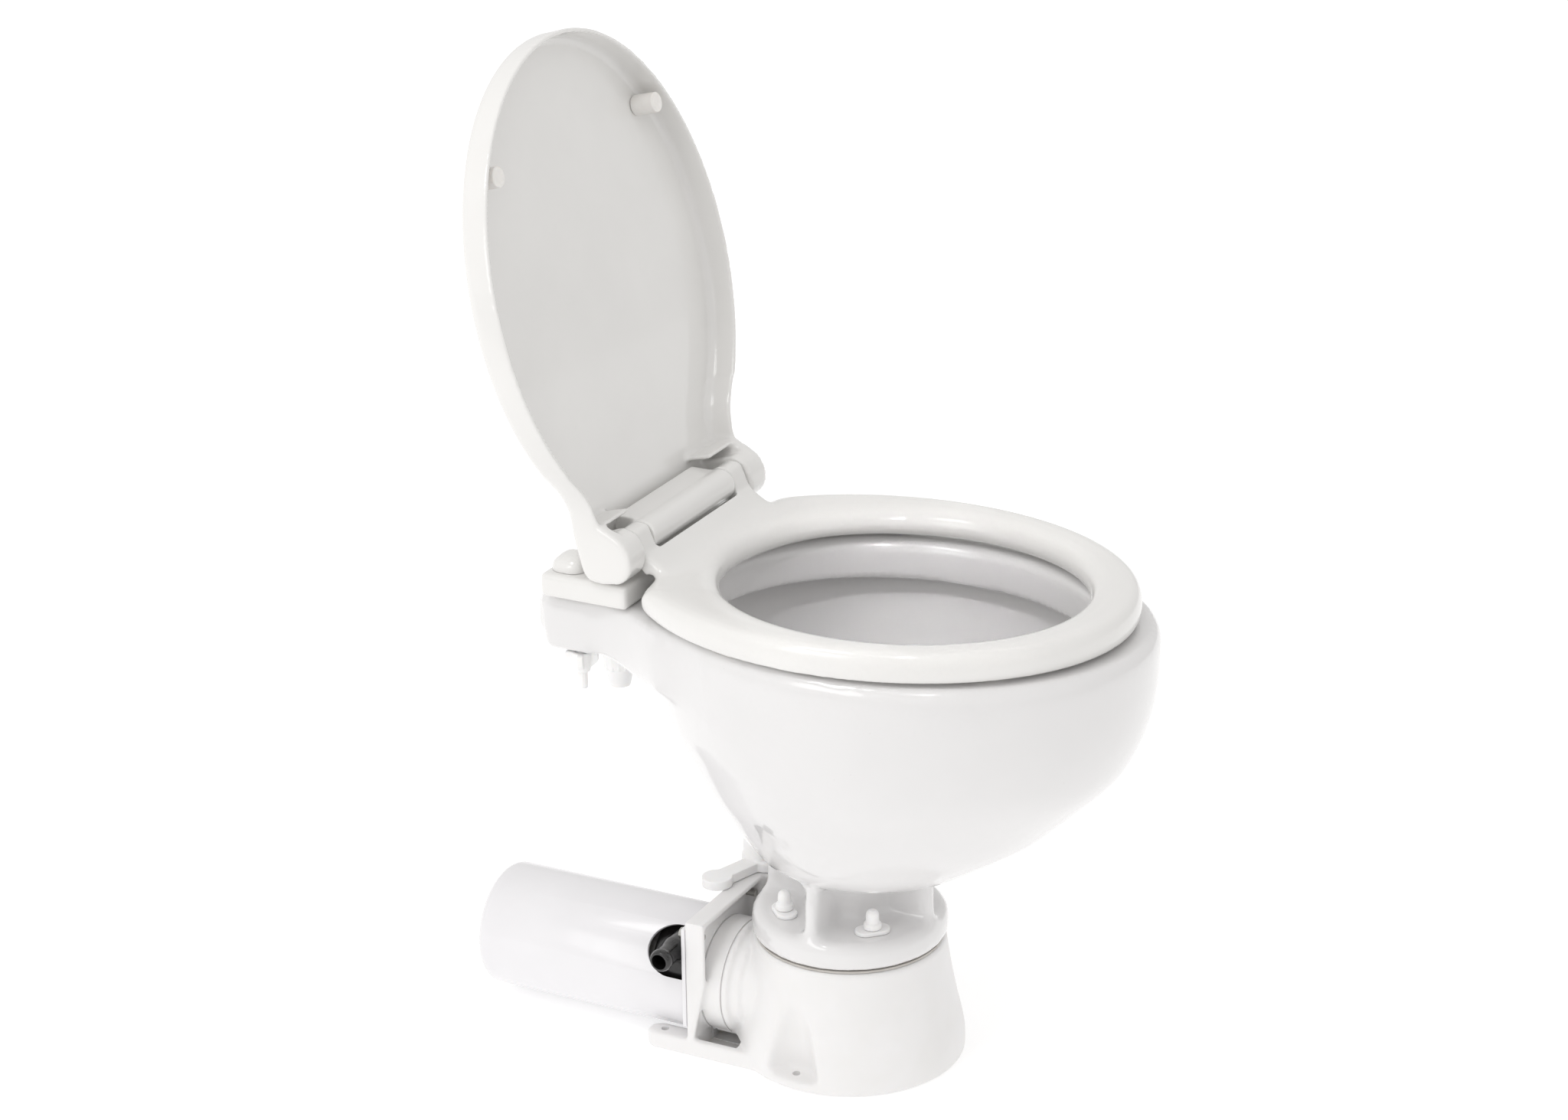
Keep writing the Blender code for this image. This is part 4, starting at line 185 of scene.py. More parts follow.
# %% [markdown]
# The pump base, the small fittings and the bumpers are injection moulded too, but in duller grades.
# The base is a filled plastic whose mould was spark eroded, so it has a fine matt grain. The hosetail
# and the nuts are natural nylon: slightly cream, waxy, and light passes a little way in. The real
# grain is about 0.1 mm; it is drawn at 0.9 mm, because finer would not show.

# %% Finishes of the base, the fittings and the bumpers
base_plastic = even_surface(
    "matt_moulded_base_plastic", "ebeaea", "e7e6e5", 45.0, (0.30, 0.38), 0.9, 0.012, wave=22.0,
    wave_depth=0.03, ior=1.49, glow=0.05,
)
nylon = even_surface(
    "natural_moulded_nylon", "f6f6f6", "f3f2f1", 18.0, (0.30, 0.40), 0.8, 0.010, ior=1.53,
    glow=0.12,
)
pale_rubber = even_surface(
    "white_soft_bumper_rubber", "f1efec", "e8e5e1", 12.0, (0.42, 0.55), 0.7, 0.012, ior=1.49,
    glow=0.08,
)
grey_rubber = even_surface(
    "grey_sheet_gasket_rubber", "c2beb9", "b8b4ae", 14.0, (0.55, 0.72), 0.8, 0.02, ior=1.52,
)
black_rubber = even_surface(
    "black_moulded_rubber", "24231f", "171613", 14.0, (0.55, 0.72), 0.8, 0.02, ior=1.52,
)
impeller_rubber = even_surface(
    "grey_moulded_impeller_plastic", "4a4945", "3d3c39", 14.0, (0.35, 0.5), 0.8, 0.012, ior=1.5,
)

# %% [markdown]
# The motor's can is drawn steel under white stoved enamel. Spray leaves orange peel: soft dimples
# about 2 mm across and a few microns deep. The pump is black glass-filled nylon, polished in its
# mould. The screws, the shaft and the plates are stainless steel with a brushed lay along them.

# %% Finishes of the motor, the pump and the metal pieces
enamel = even_surface(
    "white_stoved_enamel", "e9e8ea", "e6e5e7", 60.0, (0.19, 0.26), 2.2, 0.016, wave=50.0,
    wave_depth=0.05, ior=1.5, coat=0.25, coat_rough=0.08,
)
black_plastic = even_surface(
    "polished_black_pump_plastic", "1c1b1b", "121111", 16.0, (0.14, 0.25), 1.2, 0.010, ior=1.52,
    coat=0.5, coat_rough=0.05,
)
steel = even_surface(
    "brushed_stainless_steel", "b9b8b4", "a3a29e", 6.0, (0.29, 0.40), 0.5, 0.012, ior=1.5,
    metal=1.0, stretch=(1.0, 0.06, 1.0),
)

# %% [markdown]
# Every CAD piece keeps its place. Each one first gets the material of its kind through its own slots;
# the pieces that show will be replaced further on by finer ones with the same material.

# %% Give each CAD piece its material
FINISH_OF = {
    "bowl": china, "seat": seat_plastic, "lid": seat_plastic, "hinge_bracket": seat_plastic,
    "hinge_bolt_cap": seat_plastic, "pump_base": base_plastic, "motor_cover": enamel,
    "motor_flange": enamel, "flush_pump_housing": black_plastic, "bowl_gasket": grey_rubber,
    "housing_seal_ring": black_rubber, "shaft_seal": black_rubber, "joker_valve": black_rubber,
    "flush_impeller": black_rubber, "discharge_impeller": impeller_rubber,
    "lid_bumper": pale_rubber, "seat_bumper": pale_rubber, "discharge_hosetail": nylon,
    "cap_nut": nylon, "foot_washer": nylon, "wing_nut": nylon, "hinge_bolt": nylon,
    "flush_inlet_nut": nylon, "flush_inlet_spigot": nylon, "bowl_bolt": steel,
    "flange_screw": steel, "hinge_pin": steel, "chopper_plate": steel, "wear_plate": steel,
    "motor_body": steel, "motor_shaft": steel,
}
for name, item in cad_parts.items():
    kind = name.rstrip("0123456789").rstrip("_")
    for slot in item.material_slots:
        slot.material = FINISH_OF[kind]
print("CAD pieces with a material:", len(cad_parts))


# %% [markdown]
# The finer pieces are made with a few tools. A loft starts from circles, which are squeezed to ovals
# and bridged one to the next, as a boatbuilder stretches planks over frames. A turned piece is half a
# profile spun about an axis, as on a lathe. A cut-out shape is an outline that is filled and extruded.

# %% Helpers for shapes
def object_from(bm, name):
    bmesh.ops.remove_doubles(bm, verts=bm.verts, dist=0.01 * MM)
    bmesh.ops.recalc_face_normals(bm, faces=bm.faces)
    mesh = bpy.data.meshes.new(name)
    bm.to_mesh(mesh)
    bm.free()
    item = bpy.data.objects.new(name, mesh)
    bpy.context.scene.collection.objects.link(item)
    return item


def applied(item):
    """The object with its modifiers made real."""
    bpy.context.view_layer.update()
    seen = item.evaluated_get(bpy.context.evaluated_depsgraph_get())
    mesh = bpy.data.meshes.new_from_object(seen)
    name = item.name
    item.modifiers.clear()
    item.data = mesh
    item.name = name
    return item


def eased(rows, steps):
    """A table of stations made smooth: a curve through its rows, with more rows between them."""
    result = []
    for index in range(len(rows) - 1):
        before = rows[max(index - 1, 0)]
        first = rows[index]
        second = rows[index + 1]
        after = rows[min(index + 2, len(rows) - 1)]
        for step in range(steps):
            t = step / steps
            row = []
            for a, b, c, d in zip(before, first, second, after):
                row.append(0.5 * (2.0 * b + (c - a) * t + (2.0 * a - 5.0 * b + 4.0 * c - d) * t * t
                                  + (3.0 * b - a - 3.0 * c + d) * t ** 3))
            result.append(tuple(row))
    result.append(tuple(rows[-1]))
    return result


def oval(bm, height, half_width, front, rear, segments):
    """One oval frame of a loft; its vertices keep the order of the circle they come from."""
    place = Matrix.Translation((0.0, (front + rear) / 2.0, height))
    size = Matrix.Diagonal((half_width, (rear - front) / 2.0, 1.0, 1.0))
    made = bmesh.ops.create_circle(
        bm, cap_ends=False, segments=segments, radius=1.0, matrix=place @ size,
    )
    return made["verts"]


def edges_of(verts):
    own = set(verts)
    return [edge for vert in verts for edge in vert.link_edges if edge.other_vert(vert) in own]


def bridged(bm, frames, closed=False):
    """Planks over the frames: each is bridged to the next, and the ends are filled or joined."""
    borders = [list(set(edges_of(verts))) for verts in frames]
    pairs = list(zip(borders, borders[1:]))
    if closed:
        pairs.append((borders[-1], borders[0]))
    for first, second in pairs:
        bmesh.ops.bridge_loops(bm, edges=first + second)
    if not closed:
        for border in (borders[0], borders[-1]):
            bmesh.ops.contextual_create(bm, geom=border)


def lofted(name, rows, segments=128):
    """A closed solid through ovals given as (height, half width, front, rear)."""
    bm = bmesh.new()
    bridged(bm, [oval(bm, *row, segments) for row in rows])
    return object_from(bm, name)


def turned(name, profile, place=Matrix.Identity(4), steps=96):
    """A profile of (radius, height) points spun about Z, then put in its place."""
    bm = bmesh.new()
    verts = [bm.verts.new((radius, 0.0, height)) for radius, height in profile]
    edges = [bm.edges.new(pair) for pair in zip(verts, verts[1:])]
    bmesh.ops.spin(
        bm, geom=verts + edges, cent=(0.0, 0.0, 0.0), axis=(0.0, 0.0, 1.0), dvec=(0.0, 0.0, 0.0),
        angle=WHOLE_TURN, steps=steps, use_merge=True, use_duplicate=False,
    )
    bmesh.ops.transform(bm, matrix=place, verts=bm.verts)
    return object_from(bm, name)


def plug(radius, low, high, place):
    """A plain cylinder about Z, all in millimetres, put in its place."""
    return turned("plug", [mm(0, high), mm(radius, high), mm(radius, low), mm(0, low)], place)


def thickened(bm, faces, height):
    grown = bmesh.ops.extrude_face_region(bm, geom=faces)
    top = [piece for piece in grown["geom"] if isinstance(piece, bmesh.types.BMVert)]
    bmesh.ops.translate(bm, verts=top, vec=(0.0, 0.0, height))


def bevelled(bm, edges, offset, segments=5):
    bmesh.ops.bevel(
        bm, geom=edges, offset=offset, segments=segments, profile=0.5, affect="EDGES",
        clamp_overlap=True, material=-1,
    )


def extruded(name, outline, low, high, place=Matrix.Identity(4)):
    """A flat outline of (x, y) points, filled and given the height low to high."""
    bm = bmesh.new()
    face = bm.faces.new([bm.verts.new((x, y, low)) for x, y in outline])
    thickened(bm, [face], high - low)
    bmesh.ops.transform(bm, matrix=place, verts=bm.verts)
    return object_from(bm, name)


def block(name, low, high, rounding=0.0):
    low = Vector(low)
    size = Vector(high) - low
    place = Matrix.Translation(low + size / 2.0) @ Matrix.Diagonal((size.x, size.y, size.z, 1.0))
    bm = bmesh.new()
    bmesh.ops.create_cube(bm, size=1.0, matrix=place)
    if rounding > 0.0:
        bevelled(bm, bm.edges[:], rounding)
    return object_from(bm, name)


def rod(name, radius, start, end, end_radius=None, steps=64):
    start = Vector(start)
    along = Vector(end) - start
    turn = along.to_track_quat("Z", "Y").to_matrix().to_4x4()
    bm = bmesh.new()
    bmesh.ops.create_cone(
        bm, cap_ends=True, segments=steps, radius1=radius,
        radius2=radius if end_radius is None else end_radius, depth=along.length,
        matrix=Matrix.Translation(start + along / 2.0) @ turn,
    )
    return object_from(bm, name)


def drill(x, y, radius, low, high):
    """An upright cutter at x, y; its radius and its two ends are in millimetres."""
    return rod("hole", radius * MM, (x, y, low * MM), (x, y, high * MM))


def drill_level(x, z, radius, low, high):
    """The same from front to back, at x, z."""
    return rod("hole", radius * MM, (x, low * MM, z), (x, high * MM, z))


def rounded(points, radius, count=5):
    """Corner points of a profile replaced by short arcs, as a fillet would."""
    result = [points[0]]
    for before, corner, after in zip(points, points[1:], points[2:]):
        corner = Vector(corner)
        back = Vector(before) - corner
        ahead = Vector(after) - corner
        reach = min(radius, back.length * 0.45, ahead.length * 0.45)
        first = corner + back.normalized() * reach
        last = corner + ahead.normalized() * reach
        for step in range(count + 1):
            t = step / count
            point = first * (1.0 - t) ** 2 + corner * 2.0 * t * (1.0 - t) + last * t * t
            result.append((point.x, point.y))
    result.append(points[-1])
    return result


print("shape helpers ready")


# %% [markdown]
# Castings and mouldings have no hard seams: the arms, ribs and walls flow into one another. The way
# to get that here is to push overlapping solids together and remesh them. A voxel remesh throws the
# solids onto a fine grid and skins what it finds, so that they become one body; hollows are cut from
# it, it is skinned again, and a few rounds of smoothing melt the corners to a soft radius.

# %% Helpers that melt solids into one moulding
def together(name, items):
    bm = bmesh.new()
    for item in items:
        bm.from_mesh(item.data)
        bpy.data.objects.remove(item, do_unlink=True)
    mesh = bpy.data.meshes.new(name)
    bm.to_mesh(mesh)
    bm.free()
    item = bpy.data.objects.new(name, mesh)
    bpy.context.scene.collection.objects.link(item)
    return item


def skinned(item, voxel):
    remesh = item.modifiers.new("skin", "REMESH")
    remesh.mode = "VOXEL"
    remesh.voxel_size = voxel * 1.0
    remesh.adaptivity = 0.0
    remesh.use_smooth_shade = True
    return applied(item)


def cut_out(item, cutters, solver="MANIFOLD"):
    for cutter in cutters:
        saw = item.modifiers.new("cut", "BOOLEAN")
        saw.operation = "DIFFERENCE"
        saw.solver = solver
        saw.object = cutter
        item = applied(item)
        bpy.data.objects.remove(cutter, do_unlink=True)
    return item


def without_crumbs(item, smallest=100):
    """Removes the specks that the skin can leave at a sharp corner, each of a few points."""
    bm = bmesh.new()
    bm.from_mesh(item.data)
    unseen = set(bm.verts)
    crumbs = []
    while unseen:
        waiting = [unseen.pop()]
        island = list(waiting)
        while waiting:
            for edge in waiting.pop().link_edges:
                for vert in edge.verts:
                    if vert in unseen:
                        unseen.remove(vert)
                        waiting.append(vert)
                        island.append(vert)
        if len(island) < smallest:
            crumbs += island
    bmesh.ops.delete(bm, geom=crumbs, context="VERTS")
    bm.to_mesh(item.data)
    bm.free()
    return item


def moulded(name, solids, hollows, voxel, rounds, extra=()):
    """Solids melted together, hollows taken out, corners softened."""
    item = skinned(together(name, solids), voxel)
    if hollows:
        item = cut_out(item, hollows)
        if extra:
            item = together(name, [item] + list(extra))
        item = skinned(item, voxel)
    soft = item.modifiers.new("soften", "SMOOTH")
    soft.factor = 0.5
    soft.iterations = rounds
    item = without_crumbs(applied(item))
    item.name = name
    return item


def melted(item, low, high, rounds, kept=None):
    """Softens what lies in a box, both sides alike, but leaves the points that kept picks."""
    bm = bmesh.new()
    bm.from_mesh(item.data)
    low, high = Vector(low), Vector(high)
    inside = [
        vert for vert in bm.verts
        if low.x < abs(vert.co.x) < high.x and low.y < vert.co.y < high.y
        and low.z < vert.co.z < high.z and not (kept and kept(vert.co))
    ]
    for _ in range(rounds):
        bmesh.ops.smooth_vert(
            bm, verts=inside, factor=0.5, use_axis_x=True, use_axis_y=True, use_axis_z=True,
        )
    bm.to_mesh(item.data)
    bm.free()
    return item


def edges_broken(item, width):
    """A thin bevel along every sharp edge, as paint leaves it."""
    bevel = item.modifiers.new("edges", "BEVEL")
    bevel.width = width
    bevel.segments = 2
    bevel.limit_method = "ANGLE"
    bevel.angle_limit = math.radians(40.0)
    return applied(item)


def shown(item, body, material, nodes, sharp=50.0):
    """Finishes a piece: material, smooth shading with its real corners kept, its body, its node."""
    item.data.materials.clear()
    item.data.materials.append(material)
    item.data.shade_smooth()
    item.data.set_sharp_from_angle(angle=math.radians(sharp))
    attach(item, body)
    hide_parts(*nodes)
    print(item.name, "-", len(item.data.polygons), "faces for", ", ".join(nodes))
    return item


# %% [markdown]
# The bowl is one casting: a deep oval basin, a flat deck behind it for the hinges, and a short ribbed
# stem on a round foot. Its outside is lofted through ovals whose widths were read off the object at
# sixteen heights; only the ratios are listed, as shares of the rim's own size.

# %% The bowl's outside
RIM_Z = 341.0 * MM
RIM_HALF_WIDTH = 143.0 * MM
RIM_FRONT = -219.0 * MM
RIM_REAR = 150.0 * MM
OUTER_SHARES = (
    (0.415, 0.250, 0.190, 0.240), (0.428, 0.350, 0.283, 0.320), (0.438, 0.420, 0.350, 0.380),
    (0.457, 0.490, 0.425, 0.440),
    (0.490, 0.555, 0.507, 0.495), (0.522, 0.602, 0.585, 0.560), (0.557, 0.650, 0.662, 0.620),
    (0.601, 0.714, 0.735, 0.687), (0.651, 0.776, 0.815, 0.753), (0.701, 0.840, 0.889, 0.807),
    (0.748, 0.895, 0.936, 0.853), (0.812, 0.945, 0.975, 0.907), (0.880, 0.986, 0.995, 0.973),
    (0.944, 1.000, 1.000, 1.000), (0.982, 0.994, 0.997, 0.995), (1.000, 0.966, 0.978, 0.970),
)
outer_rows = [
    (height * RIM_Z, width * RIM_HALF_WIDTH, front * RIM_FRONT, rear * RIM_REAR)
    for height, width, front, rear in eased(OUTER_SHARES, 4)
]
bowl_body = lofted("bowl_body", outer_rows)
print("bowl body frames:", len(outer_rows))

# %% [markdown]
# The deck is a slab that grows out of the basin's back. It starts as a cube, gets a row of cuts, and
# each cut is moved to the width and thickness of the real slab there, before its long edges are
# rounded.

# %% The deck behind the bowl
DECK_REAR = 200.0 * MM
DECK_HALF_WIDTH = 84.0 * MM
DECK_ROUNDING = 9.0 * MM
DECK_UNDER = 298.0 * MM
DECK_SHARES = (
    (0.300, 1.400, 1.007, 0.999), (0.425, 1.370, 0.985, 1.000), (0.525, 1.220, 0.968, 1.000),
    (0.600, 1.110, 0.970, 1.000), (0.700, 1.035, 0.988, 1.000), (0.770, 1.010, 1.000, 1.000),
    (0.950, 1.000, 1.000, 1.000), (0.980, 0.965, 1.010, 0.998), (1.000, 0.900, 1.030, 0.986),
)
deck_rows = eased(DECK_SHARES, 4)
deck_mesh = bmesh.new()
bmesh.ops.create_cube(deck_mesh, size=1.0)
lengthwise = [
    edge for edge in deck_mesh.edges if abs(edge.verts[0].co.y - edge.verts[1].co.y) > 0.5
]
bmesh.ops.subdivide_edges(
    deck_mesh, edges=lengthwise, cuts=len(deck_rows) - 2, use_grid_fill=True,
)
for vert in deck_mesh.verts:
    back, width, under, top = deck_rows[round((vert.co.y + 0.5) * (len(deck_rows) - 1))]
    vert.co.x = math.copysign(width * DECK_HALF_WIDTH, vert.co.x)
    vert.co.z = top * RIM_Z if vert.co.z > 0.0 else under * DECK_UNDER
    vert.co.y = back * DECK_REAR
long_edges = [
    edge for edge in deck_mesh.edges
    if edge.verts[0].co.x * edge.verts[1].co.x > 0.0
    and abs(edge.verts[0].co.z - edge.verts[1].co.z) < 8.0 * MM
    and abs(edge.verts[0].co.y - edge.verts[1].co.y) > 0.1 * MM
]
bevelled(deck_mesh, long_edges, DECK_ROUNDING)
deck = object_from(deck_mesh, "deck")
print("deck faces:", len(deck.data.polygons))

# %% [markdown]
# Below the basin the casting narrows to a stem, which flares into the basin above and stands on a
# round foot below. Four ribs run out to the foot's edge, and the nuts sit in the hollows between
# them. The foot's top edge is rounded, because the glaze would run off a sharp one.

# %% The stem, its ribs and the foot
FOOT_BOTTOM = 90.0 * MM
LEDGE = 110.0 * MM
foot = turned("foot", rounded([
    (0.0, LEDGE), (67.6 * MM, LEDGE), (69.0 * MM, LEDGE - 8.0 * MM), (69.0 * MM, FOOT_BOTTOM),
    (0.0, FOOT_BOTTOM),
], 5.0 * MM))
stem = turned("stem", [
    mm(0, 152), mm(52, 152), mm(45, 146), mm(38, 138),
    mm(33, 130), mm(30.5, 122), mm(30, 108), mm(0, 108),
])
RIB_HALF_WIDTH = 4.8 * MM
upright = Matrix.Rotation(math.pi / 2.0, 4, "X")
rib_outline = rounded([
    mm(0, 108), mm(64.5, 108), mm(63.8, 126), mm(62.5, 157), mm(0, 157),
], 2.0 * MM)
ribs = []
for turn in range(4):
    quarter = Matrix.Rotation(turn * math.pi / 2.0, 4, "Z")
    ribs.append(extruded("rib", rib_outline, -RIB_HALF_WIDTH, RIB_HALF_WIDTH, quarter @ upright))
print("ribs:", len(ribs))

# %% [markdown]
# The hollow is three cuts: the basin itself, which is wider than the mouth above it, the mouth with
# its rolled lip, and the outlet down through the foot. The overhanging lip hides the flush water
# channel on the real bowl. The grid is no finer than the piece needs, which keeps its triangles
# below two hundred thousand.

# %% The basin, the mouth and the outlet
BASIN_SHARES = (
    (0.411, 0.21, 0.13, 0.19), (0.430, 0.26, 0.20, 0.22), (0.475, 0.40, 0.38, 0.38),
    (0.522, 0.55, 0.55, 0.53), (0.601, 0.70, 0.73, 0.68), (0.701, 0.85, 0.89, 0.83),
    (0.812, 0.95, 0.97, 0.93), (0.895, 1.00, 1.00, 1.00), (0.912, 0.97, 0.98, 0.97),
)
WALL = 12.0 * MM
basin = lofted("basin", [
    (height * RIM_Z, width * (RIM_HALF_WIDTH - WALL), front * (RIM_FRONT + WALL),
     rear * (RIM_REAR - WALL))
    for height, width, front, rear in eased(BASIN_SHARES, 4)
])
LIP = (
    (308, 0.6), (312, 0), (324, -0.3), (333, 0.3), (337, 1.8), (340, 5.5), (341.5, 9), (345, 9),
)
mouth_rows = [mm(height, 115 + grow, -175 - grow, 101 + grow) for height, grow in LIP]
mouth = lofted("mouth", eased(mouth_rows, 3))
outlet = drill(0.0, 0.0, 24, 85, 143)
bowl_skin = moulded(
    "china_bowl", [bowl_body, deck, foot, stem] + ribs, [basin, mouth, outlet], 2.75 * MM, 7,
)

# %% [markdown]
# Where the deck grows out of the bowl the real casting has a wide, soft fillet. More rounds of
# smoothing there melt the step away. The points on the hollow's side of the wall are left alone, or
# the lip would be smoothed with it. The bolt holes come last, so that they stay round.

# %% The soft junction and the bolt holes
HOLLOW_LOW = 262.0 * MM
HOLLOW_HIGH = 305.0 * MM


def in_hollow(point):
    """True for points on the basin's and the mouth's side of the casting's wall."""
    rise = min(point.z, HOLLOW_HIGH) - HOLLOW_LOW
    across = point.x / (121.0 * MM + 0.23 * rise)
    along = point.y / (120.0 * MM + 0.40 * rise)
    return math.hypot(across, along) < 1.0


bowl_skin = melted(bowl_skin, mm(58, 45, 262), mm(135, 158, 337), 70, in_hollow)
bowl_skin = melted(bowl_skin, mm(-1000, 20, 262), mm(62, 150, 305), 50, in_hollow)
FOOT_BOLTS = [(33.94 * MM * x, 33.94 * MM * y) for x, y in ((1, 1), (-1, 1), (-1, -1), (1, -1))]
BOLT_X = 73.5 * MM
BOLT_Y = 167.0 * MM
INLET_Y = 180.0 * MM
holes = [drill(x, y, 3.4, 86, 114) for x, y in FOOT_BOLTS]
holes += [drill(side, BOLT_Y, 4.4, 292, 346) for side in (-BOLT_X, BOLT_X)]
holes.append(drill(0.0, INLET_Y, 9, 292, 318))
bowl_skin = cut_out(bowl_skin, holes)
shown(bowl_skin, "frame", china, ["bowl"])

# %% [markdown]
# The pump base is one moulding: a flared round foot that carries the bowl, the motor plate with the
# round housing of the macerator before it, the riser for the waste pipe, and a flat foot with screw
# lugs. The flare is scooped over each side lug to let a screwdriver in.

# %% The pump base
MOTOR_X = -22.0 * MM
MOTOR_Z = 47.3 * MM
PLATE_BACK = 95.0 * MM
at_motor = Matrix.Translation((MOTOR_X, 0.0, MOTOR_Z))
along_motor = at_motor @ Matrix.Rotation(-math.pi / 2.0, 4, "X")
cone = turned("cone", rounded([
    mm(0, 88), mm(67.5, 88), mm(68.9, 76.75), mm(71.8, 58),
    mm(75.6, 39.25), mm(79.6, 22), mm(81, 13), mm(81, 0), (0.0, 0.0),
], 3.0 * MM))
scoops = [
    rod("scoop", 22.0 * MM, (side, 8.0 * MM, 7.0 * MM), (side, 8.0 * MM, 90.0 * MM), 11.0 * MM)
    for side in mm(-84, 84)
]
cone = cut_out(cone, scoops, "EXACT")
near = -68.0 * MM
far = 24.0 * MM
slab = extruded("slab", [
    (near, 38.0 * MM), mm(64, 38), (64.0 * MM, PLATE_BACK), (far, PLATE_BACK),
    (far, 123.3 * MM), (far - 4.25 * MM, 129.0 * MM), (far - 12.75 * MM, 129.0 * MM),
    (far - 17.0 * MM, 123.3 * MM), (far - 17.0 * MM, PLATE_BACK), (near + 17.0 * MM, PLATE_BACK),
    (near + 17.0 * MM, 123.3 * MM), (near + 12.75 * MM, 129.0 * MM), (near + 4.25 * MM, 129.0 * MM),
    (near, 123.3 * MM),
], 0.0, 12.0 * MM)
panel = block("panel", (near, 90.0 * MM, 10.0 * MM), (far, PLATE_BACK, 104.0 * MM))
top_rim = block("top_rim", (near, 80.0 * MM, 100.0 * MM), (far, 93.0 * MM, 104.0 * MM))
rim_outline = [mm(92, 10), mm(92, 104), mm(80, 104), mm(80, 58), mm(90, 12), mm(90, 10)]
across_x = Matrix(((0, 0, 1, 0), (1, 0, 0, 0), (0, 1, 0, 0), (0, 0, 0, 1)))
RIM_WIDTH = 4.0 * MM
side_rims = []
for edge in (near, far - RIM_WIDTH):
    place = Matrix.Translation((edge, 0.0, 0.0)) @ across_x
    side_rims.append(extruded("side_rim", rim_outline, 0.0, RIM_WIDTH, place))
housing = plug(41, 66, 92.5, along_motor)
step = plug(38, 58, 90, along_motor)
neck = plug(36, 0, 68, along_motor)
RISER = mm(44, 86)
riser = drill(*RISER, 20, 0, 104)
link = block("link", (MOTOR_X, 66.0 * MM, MOTOR_Z), (*RISER, 67.3 * MM))
throat = drill(0.0, 0.0, 27, 9, 92)
intake = plug(31, 5, 70.5, along_motor)
bore = plug(37, 68.5, 98, along_motor)
duct = rod("duct", 14.5 * MM, (*RISER, MOTOR_Z), (*RISER, 108.0 * MM))
base_skin = moulded(
    "moulded_pump_base",
    [cone, slab, panel, top_rim, housing, step, neck, riser, link] + side_rims,
    [throat, intake, bore, duct], 1.35 * MM, 4,
)

# %% [markdown]
# The flare runs softly into its side lugs, so the skin is smoothed further there. The recess in the
# slab, the two grooves round the housing and the screw holes are sawn after that, with crisp edges.

# %% The base's lugs, recess, grooves and holes
SCREW_X = 38.9 * MM
SCREW_Z = 91.5 * MM
base_skin = melted(base_skin, mm(57, -22, 3), mm(88, 37.5, 84), 22)
holes = [block("pocket", mm(-63.5, 58, 1.2), mm(-40, 89.5, 14))]
holes.append(block("cavity", mm(-62, 40, 1.6), mm(10, 89, 9)))
for low in mm(85.5, 69.5):
    high = low + 1.4 * MM
    inner, outer = mm(39.6, 43)
    holes.append(turned("groove", [
        (inner, low), (outer, low), (outer, high), (inner, high), (inner, low),
    ], along_motor))
holes += [
    drill(*place, 2.8, -3, 15)
    for place in (mm(-69, 8), mm(69, 8), mm(-59.5, 117), mm(15.5, 117))
]
holes += [drill(x, y, 3.3, 72.5, 92) for x, y in FOOT_BOLTS]
holes += [drill_level(MOTOR_X + side, SCREW_Z, 2.8, 83, 98) for side in (-SCREW_X, SCREW_X)]
base_skin = cut_out(base_skin, holes)
shown(base_skin, "frame", base_plastic, ["pump_base"])

# %% [markdown]
# The seat is a ring of oval section, lofted round and round: each frame is an oval part way between
# the hole and the outer edge, at the height the section has there, and the last frame is bridged back
# to the first. Behind, its outline is cut square and two arms reach back to the hinge.

# %% The seat ring
SEAT_TOP = 365.0 * MM
SEAT_THICKNESS = 20.8 * MM
SEAT_UNDER = SEAT_TOP - SEAT_THICKNESS
SEAT_REAR = 107.0 * MM
HINGE_Y = 127.0 * MM
HINGE_Z = 382.4 * MM
SEAT_SECTION_SHARES = (
    (0.30, 0.00), (0.10, 0.10), (0.00, 0.34), (0.03, 0.62), (0.13, 0.84), (0.30, 0.95),
    (0.50, 0.99), (0.72, 1.00), (0.87, 0.95), (0.96, 0.78), (1.00, 0.48), (0.98, 0.16),
    (0.93, 0.00),
)
HOLE_HALF_WIDTH, HOLE_HALF_LENGTH, HOLE_Y = mm(113, 126.6, -41.6)
EDGE_HALF_WIDTH, EDGE_HALF_LENGTH, EDGE_Y = mm(144, 178.5, -25.7)
RAMP_FRONT, RAMP_SIDE, RAMP_BLEND, RAMP_RISE = mm(84, 92, 30, 7.9)
seat_mesh = bmesh.new()
frames = []
for across, up in eased(SEAT_SECTION_SHARES, 3):
    verts = oval(seat_mesh, SEAT_UNDER + up * SEAT_THICKNESS, 1.0, -1.0, 1.0, 144)
    for vert in verts:
        x, y = vert.co.xy
        hole = Vector((HOLE_HALF_WIDTH * x, HOLE_Y + HOLE_HALF_LENGTH * y))
        edge = Vector((EDGE_HALF_WIDTH * x, min(EDGE_Y + EDGE_HALF_LENGTH * y, SEAT_REAR)))
        vert.co.x, vert.co.y = hole.lerp(edge, across)
        back = max(0.0, (vert.co.y - RAMP_FRONT) / (SEAT_REAR - RAMP_FRONT))
        side = min(1.0, max(0.0, (RAMP_SIDE - abs(vert.co.x)) / RAMP_BLEND))
        vert.co.z += RAMP_RISE * back * back * side * side * (3.0 - 2.0 * side) * up
    frames.append(verts)
bridged(seat_mesh, frames, closed=True)
ring = object_from(seat_mesh, "ring")
print("seat ring faces:", len(ring.data.polygons))

# %% [markdown]
# The arms end in knuckles round the pin. Both arms and the tongue between them are one side view
# pushed through from left to right, and a slot is sawn out of its middle for the hinge's barrel.
# Melted together with the ring they become one moulding, as the real seat is.

